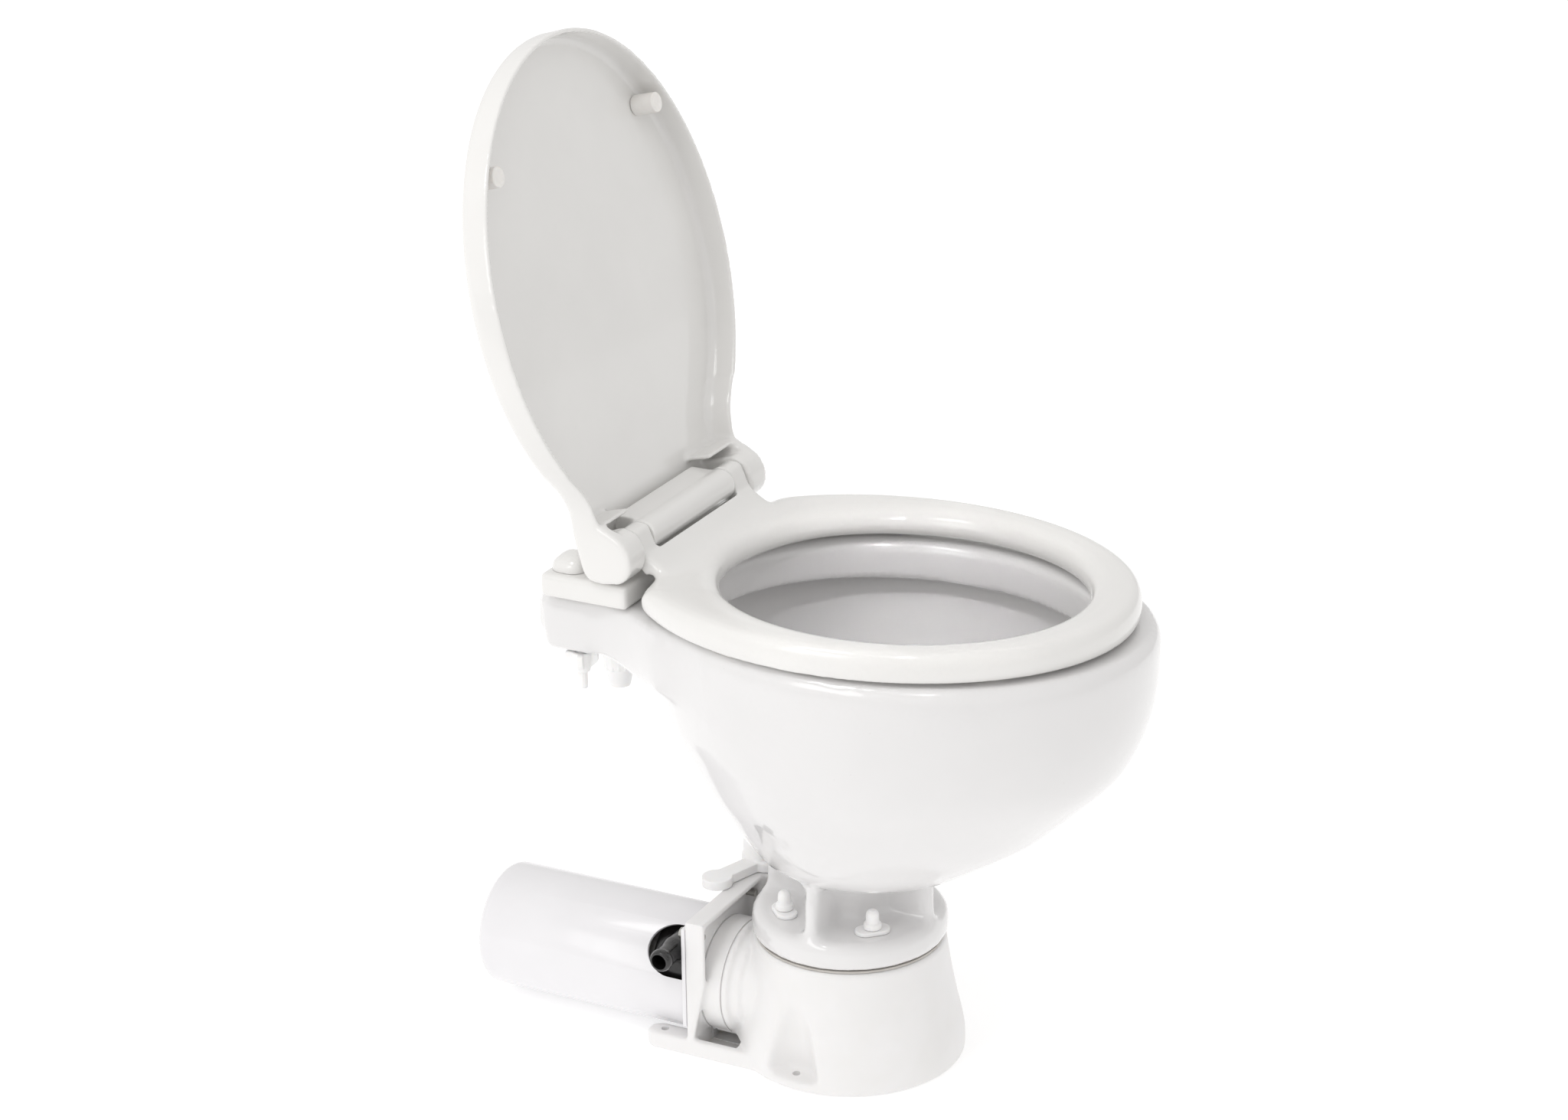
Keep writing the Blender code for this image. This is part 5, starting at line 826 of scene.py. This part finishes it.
# %% The seat's arms and tongue
BARREL_RADIUS = 11.4 * MM


def hinge_rod(radius, reach):
    """A rod along the hinge pin, in millimetres."""
    start, end = mm(-reach, reach)
    return rod("hinge_rod", radius * MM, (start, HINGE_Y, HINGE_Z), (end, HINGE_Y, HINGE_Z))


tongue_front = HINGE_Y - 12.6 * MM
arm_outline = []
for index in range(25):
    angle = math.radians(-115.0 + 240.0 * index / 24)
    arm_outline.append((
        HINGE_Y + BARREL_RADIUS * math.cos(angle), HINGE_Z + BARREL_RADIUS * math.sin(angle),
    ))
arm_outline += [
    (tongue_front, HINGE_Z - 4.7 * MM), (107.0 * MM, HINGE_Z - 9.5 * MM), mm(101, 369.2),
    mm(98, 366), mm(99, 351.2), mm(103.5, 351.2),
    (106.7 * MM, HINGE_Z - 19.4 * MM), (tongue_front, HINGE_Z - 19.4 * MM),
]
arms = extruded("arms", arm_outline, -76.0 * MM, 76.0 * MM, across_x)
slot = block(
    "slot", (-57.5 * MM, tongue_front, SEAT_UNDER),
    (57.5 * MM, HINGE_Y + 20.0 * MM, HINGE_Z + 20.0 * MM),
)
arms = cut_out(arms, [slot], "EXACT")
seat_skin = moulded("gloss_seat", [ring, arms], [], 1.35 * MM, 7)
seat_skin = melted(seat_skin, (-1.0, 82.0 * MM, 356.0 * MM), mm(98, 113.5, 380), 24)
seat_skin = cut_out(seat_skin, [hinge_rod(4.3, 99)])
shown(seat_skin, "seat", seat_plastic, ["seat"])

# %% [markdown]
# The lid is a shallow tray of 3 mm plastic with a rounded edge, standing a little past upright. It is
# modelled lying in its own frame - across, along from the hinge, and up - and then swung to its place
# by one matrix. The tray and the hollow that is cut from it have the same outline, one 3 mm inside
# the other, with edges rounded to match, so that the wall is even all round.

# %% The lid's tray
LID_ANGLE = math.radians(104.4)
along_lid = Vector((0.0, -math.cos(LID_ANGLE), math.sin(LID_ANGLE)))
up_lid = Vector((0.0, math.sin(LID_ANGLE), math.cos(LID_ANGLE)))
across_lid = along_lid.cross(up_lid)


def framed(across, along, up, spot):
    """The matrix that turns X, Y and Z to three directions and moves them to a spot."""
    return Matrix((
        (across.x, along.x, up.x, spot[0]), (across.y, along.y, up.y, spot[1]),
        (across.z, along.z, up.z, spot[2]), (0.0, 0.0, 0.0, 1.0),
    ))


lid_place = framed(across_lid, along_lid, up_lid, (0.0, HINGE_Y, HINGE_Z))


def lid_outline(inset, steps=64):
    half_width = 150.0 * MM - inset
    half_length = 170.0 * MM - inset
    centre = 167.0 * MM
    rear = 18.0 * MM + inset
    ear = 98.4 * MM - inset
    shoulder = 62.0 * MM
    start = math.acos((centre - shoulder) / half_length)
    join = half_width * math.sin(start)
    side = [
        (ear + out * (join - ear), rear + share * (shoulder - rear))
        for share, out in eased(((0.0, 0.0), (0.3, 0.06), (0.62, 0.34), (1.0, 1.0)), 5)[:-1]
    ]
    for index in range(steps + 1):
        angle = start + (math.pi - start) * index / steps
        side.append((half_width * math.sin(angle), centre - half_length * math.cos(angle)))
    return side + [(-x, y) for x, y in reversed(side[:-1])]


def dished(name, inset, low, high, rounding):
    """The lid's outline made thick, its upper edge rounded all the way round but at the hinge."""
    bm = bmesh.new()
    face = bm.faces.new([bm.verts.new((x, y, low)) for x, y in lid_outline(inset)])
    thickened(bm, [face], high - low)
    rim = [
        edge for edge in bm.edges
        if min(edge.verts[0].co.z, edge.verts[1].co.z) > high - 1.0 * MM
        and max(edge.verts[0].co.y, edge.verts[1].co.y) > 19.0 * MM + inset
    ]
    bevelled(bm, rim, rounding, 7)
    return object_from(bm, name)


LID_WALL = 3.0 * MM
LID_ROUNDING = 8.0 * MM
LID_TOP = 27.0 * MM
tray = dished("tray", 0.0, 4.0 * MM, LID_TOP, LID_ROUNDING)
hollow = dished("hollow", LID_WALL, 0.0, LID_TOP - LID_WALL, LID_ROUNDING - LID_WALL)
print("tray faces:", len(tray.data.polygons), "hollow faces:", len(hollow.data.polygons))

# %% [markdown]
# Two ears carry the lid on the pin, each with a boss that reaches in beside the seat's knuckle. Ear
# and boss share their back and differ in front. Behind the barrel a skirt and a wider apron, both
# thin, close the view between the lid and its bracket.

# %% The lid's hollow, its ears and its finish
notch = block("notch", mm(-57, 14, 0), mm(57, 24, 24))
EAR_FRONT = ((21, 10), (21, 4), (13.5, -4.5), (6.8, -11.1), (-2.3, -13.5))
BOSS_FRONT = ((12, 8), (13.5, -3), (7, -11.3), (-2.3, -13.4))
EAR_BACK = ((-12, -12.2), (-18.9, -5.4), (-21, 2), (-20, 13.5), (-16, 24), (-8, 27))
ears = []
for side in (-1.0, 1.0):
    for front, inner, outer in ((EAR_FRONT, 90, 99), (BOSS_FRONT, 76.5, 92)):
        corners = [*front, *EAR_BACK, (front[0][0], 27), front[0]]
        outline = rounded([mm(*corner) for corner in corners], 4.0 * MM)[1:-1]
        low, high = sorted((side * inner * MM, side * outer * MM))
        ears.append(extruded("ear", outline, low, high, across_x))
skirt = block("skirt", mm(-97, 9.6, 24.1), mm(97, 30, 26.9))
apron = block("apron", mm(-80, -6, 24.1), mm(80, 30, 26.9))
lid_skin = moulded("gloss_lid", [tray], [hollow, notch], 1.6 * MM, 6, ears + [apron, skirt])
lid_skin = melted(lid_skin, mm(84, -25, 4), mm(125, 62, 30), 10)
lid_skin.data.transform(lid_place)
lid_skin = cut_out(lid_skin, [hinge_rod(4.3, 96)])
shown(lid_skin, "lid", seat_plastic, ["lid"])

# %% [markdown]
# The hinge bracket is bolted to the deck. The barrel between the seat's two knuckles is part of it,
# and a cap snaps over each bolt head. A cap starts as a rounded block, is sawn flat below, and its
# top is then leaned down towards the outside.

# %% The hinge bracket and the bolt caps
plinth = block("plinth", mm(-92, 121, 341.3), mm(92, 187, 358), 3.0 * MM)
pillar = extruded("pillar", [
    mm(120, 350), mm(149, 350), mm(149, 393.2), mm(127, 393.2),
    (120.0 * MM, HINGE_Z),
], -54.0 * MM, 54.0 * MM, across_x)
barrel = hinge_rod(11.4, 57.2)
bracket_skin = moulded("hinge_block", [plinth, pillar, barrel], [], 1.1 * MM, 4)
holes = [hinge_rod(4.3, 60)]
for side in (-BOLT_X, BOLT_X):
    holes += [drill(side, BOLT_Y, 3.9, 338, 362), drill(side, BOLT_Y, 7.3, 352.4, 362)]
bracket_skin = cut_out(bracket_skin, holes)
shown(bracket_skin, "frame", seat_plastic, ["hinge_bracket"])
CAP_HALF_WIDTH = 12.4 * MM
CAP_SEAT = 358.3 * MM
for number, side in ((1, -BOLT_X), (2, BOLT_X)):
    cap = block(
        f"bolt_cap_{number}", (side - CAP_HALF_WIDTH, 159.6 * MM, 343.0 * MM),
        (side + CAP_HALF_WIDTH, 184.5 * MM, 370.8 * MM), 9.5 * MM,
    )
    cap_mesh = bmesh.new()
    cap_mesh.from_mesh(cap.data)
    sawn = bmesh.ops.bisect_plane(
        cap_mesh, geom=cap_mesh.verts[:] + cap_mesh.edges[:] + cap_mesh.faces[:], dist=0.0,
        plane_co=(0.0, 0.0, CAP_SEAT), plane_no=(0.0, 0.0, 1.0), clear_inner=True,
        clear_outer=False,
    )
    border = [piece for piece in sawn["geom_cut"] if isinstance(piece, bmesh.types.BMEdge)]
    bmesh.ops.contextual_create(cap_mesh, geom=border)
    bmesh.ops.recalc_face_normals(cap_mesh, faces=cap_mesh.faces)
    for vert in cap_mesh.verts:
        outward = (abs(vert.co.x) - BOLT_X) / CAP_HALF_WIDTH
        outward += (vert.co.y - 172.0 * MM) / (12.5 * MM)
        vert.co.z -= 0.10 * (1.4 + outward) * (vert.co.z - CAP_SEAT)
    cap_mesh.to_mesh(cap.data)
    cap_mesh.free()
    shown(cap, "frame", seat_plastic, [f"hinge_bolt_cap_{number}"])

# %% [markdown]
# The motor hides in a drawn steel can with a round-ended slot for the pump's nozzle. It is turned
# from its section, outside and inside in one profile, and the slot is sawn out afterwards. A bevel
# breaks its sharp edges, as the enamel does on the real one.

# %% The motor can and its flange
CAN_START = 98.6 * MM
CAN_END = 268.0 * MM
CAN_RADIUS = 44.4 * MM
can = turned("motor_can", [
    (0.0, CAN_END), (CAN_RADIUS, CAN_END), (CAN_RADIUS, CAN_START), (41.9 * MM, CAN_START),
    (41.9 * MM, CAN_END - 2.5 * MM), (0.0, CAN_END - 2.5 * MM),
], along_motor, 128)
can_mesh = bmesh.new()
can_mesh.from_mesh(can.data)
end_middle = Vector((MOTOR_X, CAN_END, MOTOR_Z))
end_edges = [
    edge for edge in can_mesh.edges
    if min(edge.verts[0].co.y, edge.verts[1].co.y) > CAN_END - 0.1 * MM
    and min((vert.co - end_middle).length for vert in edge.verts) > 44.0 * MM
]
bevelled(can_mesh, end_edges, 7.0 * MM, 8)
can_mesh.to_mesh(can.data)
can_mesh.free()
SLOT_ANGLE = math.radians(38.0)
SLOT_RADIUS = 19.0 * MM
for side in (-1.0, 1.0):
    outline = [(SLOT_RADIUS, 96.0 * MM)]
    for index in range(33):
        angle = math.pi * index / 32
        outline.append((
            SLOT_RADIUS * math.cos(angle), 111.0 * MM + SLOT_RADIUS * math.sin(angle),
        ))
    outline.append((-SLOT_RADIUS, 96.0 * MM))
    place = at_motor @ Matrix.Rotation(side * (math.pi / 2.0 - SLOT_ANGLE), 4, "Y")
    can = cut_out(can, [extruded("slot", outline, 5.0 * MM, 50.0 * MM, place)], "EXACT")
can = edges_broken(can, 0.4 * MM)
shown(can, "frame", enamel, ["motor_cover"], 40.0)
half = [mm(45.4, 98), mm(45.4, 22), mm(28.4, 12.3), mm(18.4, 2.9)]
flange_outline = [(MOTOR_X - x, z) for x, z in half] + [(MOTOR_X + x, z) for x, z in half[::-1]]
flange = extruded("flange_plate", flange_outline, -98.3 * MM, -95.3 * MM, upright)
holes = [drill_level(MOTOR_X, MOTOR_Z, 10, 93, 101)]
holes += [drill_level(MOTOR_X + side, SCREW_Z, 2.8, 93, 101) for side in (-SCREW_X, SCREW_X)]
flange = edges_broken(cut_out(flange, holes, "EXACT"), 0.5 * MM)
shown(flange, "frame", enamel, ["motor_flange"], 40.0)

# %% [markdown]
# The flush pump sits on the motor's nose, inside the can. It is a black drum with a nozzle out of
# each side; the near one shows in the slot. Its mouth is rounded and has a raised ring a little way
# back, which holds the hose.

# %% The flush pump
PORT_Y = 109.2 * MM
PORT_Z = 75.5 * MM
NOZZLES = ((-1.0, 58.0 * MM), (1.0, 50.0 * MM))
drum = turned("drum", rounded([
    mm(0, 128.6), mm(37, 128.6), mm(37, 98.6), mm(0, 98.6),
], 1.2 * MM), along_motor)
pump_bits = [drum]
for side, tip in NOZZLES:
    sideways = Matrix.Rotation(side * math.pi / 2.0, 4, "Y")
    pump_bits.append(turned("nozzle", rounded([
        (0.0, tip), (7.2 * MM, tip), (8.0 * MM, tip - 2.2 * MM), (8.2 * MM, tip - 2.8 * MM),
        (8.2 * MM, tip - 5.6 * MM), (7.5 * MM, tip - 6.4 * MM), (7.7 * MM, tip - 14.0 * MM),
        (9.2 * MM, tip - 22.0 * MM), mm(9.2, 4), mm(0, 4),
    ], 0.8 * MM), Matrix.Translation((MOTOR_X, PORT_Y, PORT_Z)) @ sideways))
pump_skin = moulded("black_pump", pump_bits, [], 0.7 * MM, 3)
holes = [plug(22, 107.6, 120.6, along_motor), plug(4.3, 96, 131, along_motor)]
for side, tip in NOZZLES:
    start = MOTOR_X + side * 11.0 * MM
    end = MOTOR_X + side * (tip + 2.0 * MM)
    holes.append(rod("way", 5.6 * MM, (start, PORT_Y, PORT_Z), (end, PORT_Y, PORT_Z)))
pump_skin = cut_out(pump_skin, holes)
shown(pump_skin, "frame", black_plastic, ["flush_pump_housing"], 40.0)

# %% [markdown]
# The hosetail stands on the riser behind the stem. Its long flange reaches over the motor plate,
# where a screw holds it, and the barbs above grip the waste hose.

# %% The hosetail
FLANGE_END = mm(-6, 102)
RING, LOBE, WAIST = 20.2, 11.0, 7.0
TAIL_TOP = 158.0 * MM
lean = math.atan2(FLANGE_END[1] - RISER[1], FLANGE_END[0] - RISER[0])
outline = []
big_part = math.asin(WAIST / RING)
for index in range(49):
    angle = lean + big_part + (WHOLE_TURN - 2.0 * big_part) * index / 48
    outline.append((
        RISER[0] + RING * MM * math.cos(angle), RISER[1] + RING * MM * math.sin(angle),
    ))
small_part = math.pi - math.asin(WAIST / LOBE)
for index in range(25):
    angle = lean - small_part + 2.0 * small_part * index / 24
    outline.append((
        FLANGE_END[0] + LOBE * MM * math.cos(angle), FLANGE_END[1] + LOBE * MM * math.sin(angle),
    ))
tail_flange = extruded("tail_flange", outline, 104.3 * MM, 111.3 * MM)
tail_profile = [(0.0, TAIL_TOP), (17.2 * MM, TAIL_TOP), mm(17.8, 157.4)]
for index in range(4):
    top_z = TAIL_TOP - index * 8.0 * MM
    tail_profile += [
        (19.0 * MM, top_z - 4.0 * MM), (19.0 * MM, top_z - 4.6 * MM),
        (17.8 * MM, top_z - 4.8 * MM), (17.8 * MM, top_z - 8.0 * MM),
    ]
tail_profile += [mm(19, 122), mm(19, 104.3), mm(0, 104.3)]
tail_tube = turned("tail_tube", tail_profile, Matrix.Translation((*RISER, 0.0)))
tail = moulded("hose_tail", [tail_flange, tail_tube], [], 0.8 * MM, 3)
tail = cut_out(tail, [drill(*RISER, 14.5, 100, 162), drill(*RISER, 17.8, 100, 107)])
shown(tail, "frame", nylon, ["discharge_hosetail"], 40.0)

# %% [markdown]
# Four bolts hold the bowl to the base. Each ends in a domed nylon cap nut on an oval washer. The
# washers lie along the foot's edge, so each is turned to its own quarter.

# %% The foot's cap nuts and washers
for number, (x, y) in enumerate(FOOT_BOLTS, start=1):
    at_bolt = Matrix.Translation((x, y, 0.0))
    quarter = Matrix.Rotation(math.atan2(y, x) + math.pi / 2.0, 4, "Z")
    washer_mesh = bmesh.new()
    bmesh.ops.create_circle(washer_mesh, cap_ends=True, segments=48, radius=7.5 * MM)
    for vert in washer_mesh.verts:
        vert.co.x += math.copysign(5.0 * MM, vert.co.x) if abs(vert.co.x) > 1e-6 else 0.0
    bmesh.ops.translate(washer_mesh, verts=washer_mesh.verts, vec=mm(0, 0, 110.3))
    thickened(washer_mesh, washer_mesh.faces[:], 2.6 * MM)
    upper = [
        edge for edge in washer_mesh.edges
        if min(edge.verts[0].co.z, edge.verts[1].co.z) > 112.8 * MM
    ]
    bevelled(washer_mesh, upper, 1.0 * MM, 4)
    bmesh.ops.transform(washer_mesh, matrix=at_bolt @ quarter, verts=washer_mesh.verts)
    washer = object_from(washer_mesh, f"oval_washer_{number}")
    washer = cut_out(washer, [drill(x, y, 3.3, 108, 115)], "EXACT")
    shown(washer, "frame", nylon, [f"foot_washer_{number}"], 40.0)
    nut = turned(f"domed_nut_{number}", rounded([
        mm(0, 127.2), mm(2.4, 127), mm(4.2, 125), mm(4.6, 122.6),
        mm(4.7, 118.2), mm(6.2, 117), mm(6.4, 113.2), mm(0, 113.2),
    ], 0.9 * MM), at_bolt, 48)
    nut = cut_out(nut, [drill(x, y, 3.3, 110, 121.3)], "EXACT")
    shown(nut, "frame", nylon, [f"cap_nut_{number}"], 40.0)

# %% [markdown]
# Under the deck, wing nuts hold the hinge bolts, and the flush hose pushes onto a spigot that a
# ribbed nut clamps. The small pieces are melted together on a much finer grid than the bowl.

# %% The wing nuts and the ribbed nut
wing_outline = rounded([
    mm(-5, 297.7), mm(-11.5, 297.7), mm(-11.5, 291),
    mm(-5, 285.4), mm(5, 285.4), mm(11.5, 291),
    mm(11.5, 297.7), mm(5, 297.7),
], 2.0 * MM)
for number, side in ((1, -BOLT_X), (2, BOLT_X)):
    at_bolt = Matrix.Translation((side, BOLT_Y, 0.0))
    bits = [turned("hub", rounded([
        mm(0, 297.7), mm(7, 297.7), mm(7, 292), mm(5.6, 283.2),
        mm(0, 283.2),
    ], 1.0 * MM), at_bolt)]
    for turn in range(2):
        quarter = Matrix.Rotation(math.pi / 2.0 * turn + math.pi / 8.0, 4, "Z")
        place = at_bolt @ quarter @ upright
        bits.append(extruded("wing", wing_outline, -2.0 * MM, 2.0 * MM, place))
    nut = moulded(f"winged_nut_{number}", bits, [], 0.45 * MM, 3)
    nut = cut_out(nut, [drill(side, BOLT_Y, 3.9, 280, 300)])
    shown(nut, "frame", nylon, [f"wing_nut_{number}"], 40.0)

inlet_place = Matrix.Translation((0.0, INLET_Y, 0.0))
bits = [turned("hose_nut", rounded([
    mm(0, 268), mm(11.4, 268), mm(11.4, 261), mm(7.3, 242),
    mm(0, 242),
], 0.9 * MM), inlet_place)]
for index in range(14):
    place = inlet_place @ Matrix.Rotation(WHOLE_TURN * index / 14.0, 4, "Z")
    top = place @ Vector(mm(10.8, 0, 267.5))
    foot = place @ Vector(mm(10.4, 0, 256))
    bits.append(rod("rib", 1.2 * MM, top, foot, 0.9 * MM, 12))
hose_nut = moulded("ribbed_nut", bits, [], 0.4 * MM, 3)
hose_nut = cut_out(hose_nut, [
    drill(0.0, INLET_Y, 7.8, 246.7, 272), drill(0.0, INLET_Y, 4.5, 238, 250),
])
shown(hose_nut, "frame", nylon, ["flush_inlet_nut"], 40.0)
spigot = turned("hose_spigot", rounded([
    mm(4.5, 317.7), mm(8.7, 317.7), mm(8.7, 297.7), mm(14, 297.7),
    mm(14, 293.7), mm(7.5, 293.7), mm(7.5, 247), mm(4.5, 247),
    mm(4.5, 317.7),
], 0.5 * MM), inlet_place)
shown(spigot, "frame", nylon, ["flush_inlet_spigot"], 40.0)

# %% [markdown]
# Soft bumpers keep plastic from knocking on plastic. The lid's two are turned, with a rounded face;
# each is as tall as the room between the lid and the seat when the lid is shut. The four long ones
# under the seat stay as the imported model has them.

# %% The lid's bumpers
BUMPER_X = 105.5 * MM
BUMPER_Y = 264.0 * MM
shut = math.radians(-5.0)
face = (SEAT_TOP - HINGE_Z - BUMPER_Y * math.sin(shut)) / math.cos(shut) + 0.3 * MM
for number, side in ((1, -BUMPER_X), (2, BUMPER_X)):
    bumper = turned(f"round_bumper_{number}", rounded([
        (0.0, face + 0.9 * MM), (3.2 * MM, face + 0.8 * MM), (5.0 * MM, face), (7.1 * MM, face),
        mm(7.3, 23.7), mm(0, 23.7),
    ], 1.4 * MM), lid_place @ Matrix.Translation((side, BUMPER_Y, 0.0)), 48)
    shown(bumper, "lid", pale_rubber, [f"lid_bumper_{number}"], 45.0)

# %% [markdown]
# The camera stands ahead and to the left, a little above, and far enough off that the lens is long.
# The lens was chosen; the camera's place then came from lining up the model's known points with the
# picture.

# %% The camera
SENSOR_WIDTH = 36.0
PICTURE_PIXELS = 2048.0
FOCAL_PIXELS = 5000.0
right = Vector((0.45710841, -0.88933902, -0.011314))
up = Vector((0.32927789, 0.15740017, 0.93102162))
ahead = Vector((0.82621303, 0.42930326, -0.36478862))
lens = bpy.data.cameras.new("view")
lens.sensor_width = SENSOR_WIDTH
lens.lens = SENSOR_WIDTH * FOCAL_PIXELS / PICTURE_PIXELS
camera = bpy.data.objects.new("view", lens)
camera.matrix_world = framed(right, up, -ahead, (-2.14988, -1.06840, 1.30757))
bpy.context.scene.collection.objects.link(camera)
bpy.context.scene.camera = camera
print("lens:", round(lens.lens, 2), "mm")

# %% [markdown]
# White on white only works when the light has a direction. A bright, even sky fills every shadow, a
# large soft lamp on the left gives the shapes their roundness, and a smaller one overhead draws the
# highlights on the rims. A third, weak and narrow, reaches down into the basin. The standard view
# keeps white paper white.

# %% The light
world = bpy.data.worlds.new("studio")
world.use_nodes = True
sky = world.node_tree.nodes["Background"]
sky.inputs["Color"].default_value = linear("fffefd")
outward = add(world.node_tree, "ShaderNodeTexCoord")
facing = add(world.node_tree, "ShaderNodeVectorMath", {
    0: outward.outputs["Generated"], 1: (-0.80, 0.35, 0.49),
}, operation="DOT_PRODUCT")
level = add(world.node_tree, "ShaderNodeMapRange", {
    "Value": facing.outputs["Value"], "From Min": -1.0, "From Max": 1.0,
    "To Min": 0.72, "To Max": 0.98,
})
world.node_tree.links.new(level.outputs["Result"], sky.inputs["Strength"])
bpy.context.scene.world = world
bpy.context.scene.view_settings.view_transform = "Standard"


def softbox(name, place, target, size, power, spread=180.0):
    lamp = bpy.data.lights.new(name, "AREA")
    lamp.spread = math.radians(spread)
    lamp.shape = "RECTANGLE"
    lamp.size = size
    lamp.size_y = size
    lamp.energy = power
    item = bpy.data.objects.new(name, lamp)
    item.location = place
    aim = Vector(target) - Vector(place)
    item.rotation_euler = aim.to_track_quat("-Z", "Y").to_euler()
    bpy.context.scene.collection.objects.link(item)
    print("softbox:", name, power, "W")


softbox("left_box", (-1.9, 0.5, 1.1), (0.0, 0.0, 0.3), 0.8, 4.0)
softbox("window_box", (-0.85, 0.35, 1.6), (0.05, -0.05, 0.25), 0.36, 2.5)
softbox("basin_snoot", (-0.75, -0.25, 1.3), (0.07, -0.02, 0.27), 0.14, 0.035, 9.0)

# %% [markdown]
# The floor is a wide sheet of white studio paper. It is part of the stage, not of the object. The
# paper also glows, which is painted light: fully from 0.45 m before the object's middle backwards,
# fading to nothing by 1.3 m towards the camera, so it reads white behind the object and throws light
# up onto it.

# %% The floor
floor_mesh = bmesh.new()
bmesh.ops.create_grid(floor_mesh, x_segments=1, y_segments=1, size=9.0)
bmesh.ops.translate(floor_mesh, verts=floor_mesh.verts, vec=mm(0, 0, -0.4))
floor = object_from(floor_mesh, "studio_floor")
paper = even_surface("white_studio_paper_with_painted_glow", "e8e8e8", "e6e6e6", 400.0, (0.8, 0.9), 3.0, 0.01)
sheet = paper.node_tree
spot_on = add(sheet, "ShaderNodeTexCoord")
depth = add(sheet, "ShaderNodeVectorMath", {
    0: spot_on.outputs["Object"], 1: (0.887, 0.461, 0.0),
}, operation="DOT_PRODUCT")
# Painted light: the floor's glow, full from 0.45 m before the object's middle backwards and gone by
# 1.3 m towards the camera.
painted_floor_glow = add(sheet, "ShaderNodeMapRange", {
    "Value": depth.outputs["Value"], "From Min": -1.3, "From Max": -0.45,
    "To Min": 0.0, "To Max": 0.36,
})
sheet.links.new(painted_floor_glow.outputs["Result"], sheet.nodes["Principled BSDF"].inputs["Emission Strength"])
sheet.nodes["Principled BSDF"].inputs["Emission Color"].default_value = (1.0, 1.0, 1.0, 1.0)
floor.data.materials.append(paper)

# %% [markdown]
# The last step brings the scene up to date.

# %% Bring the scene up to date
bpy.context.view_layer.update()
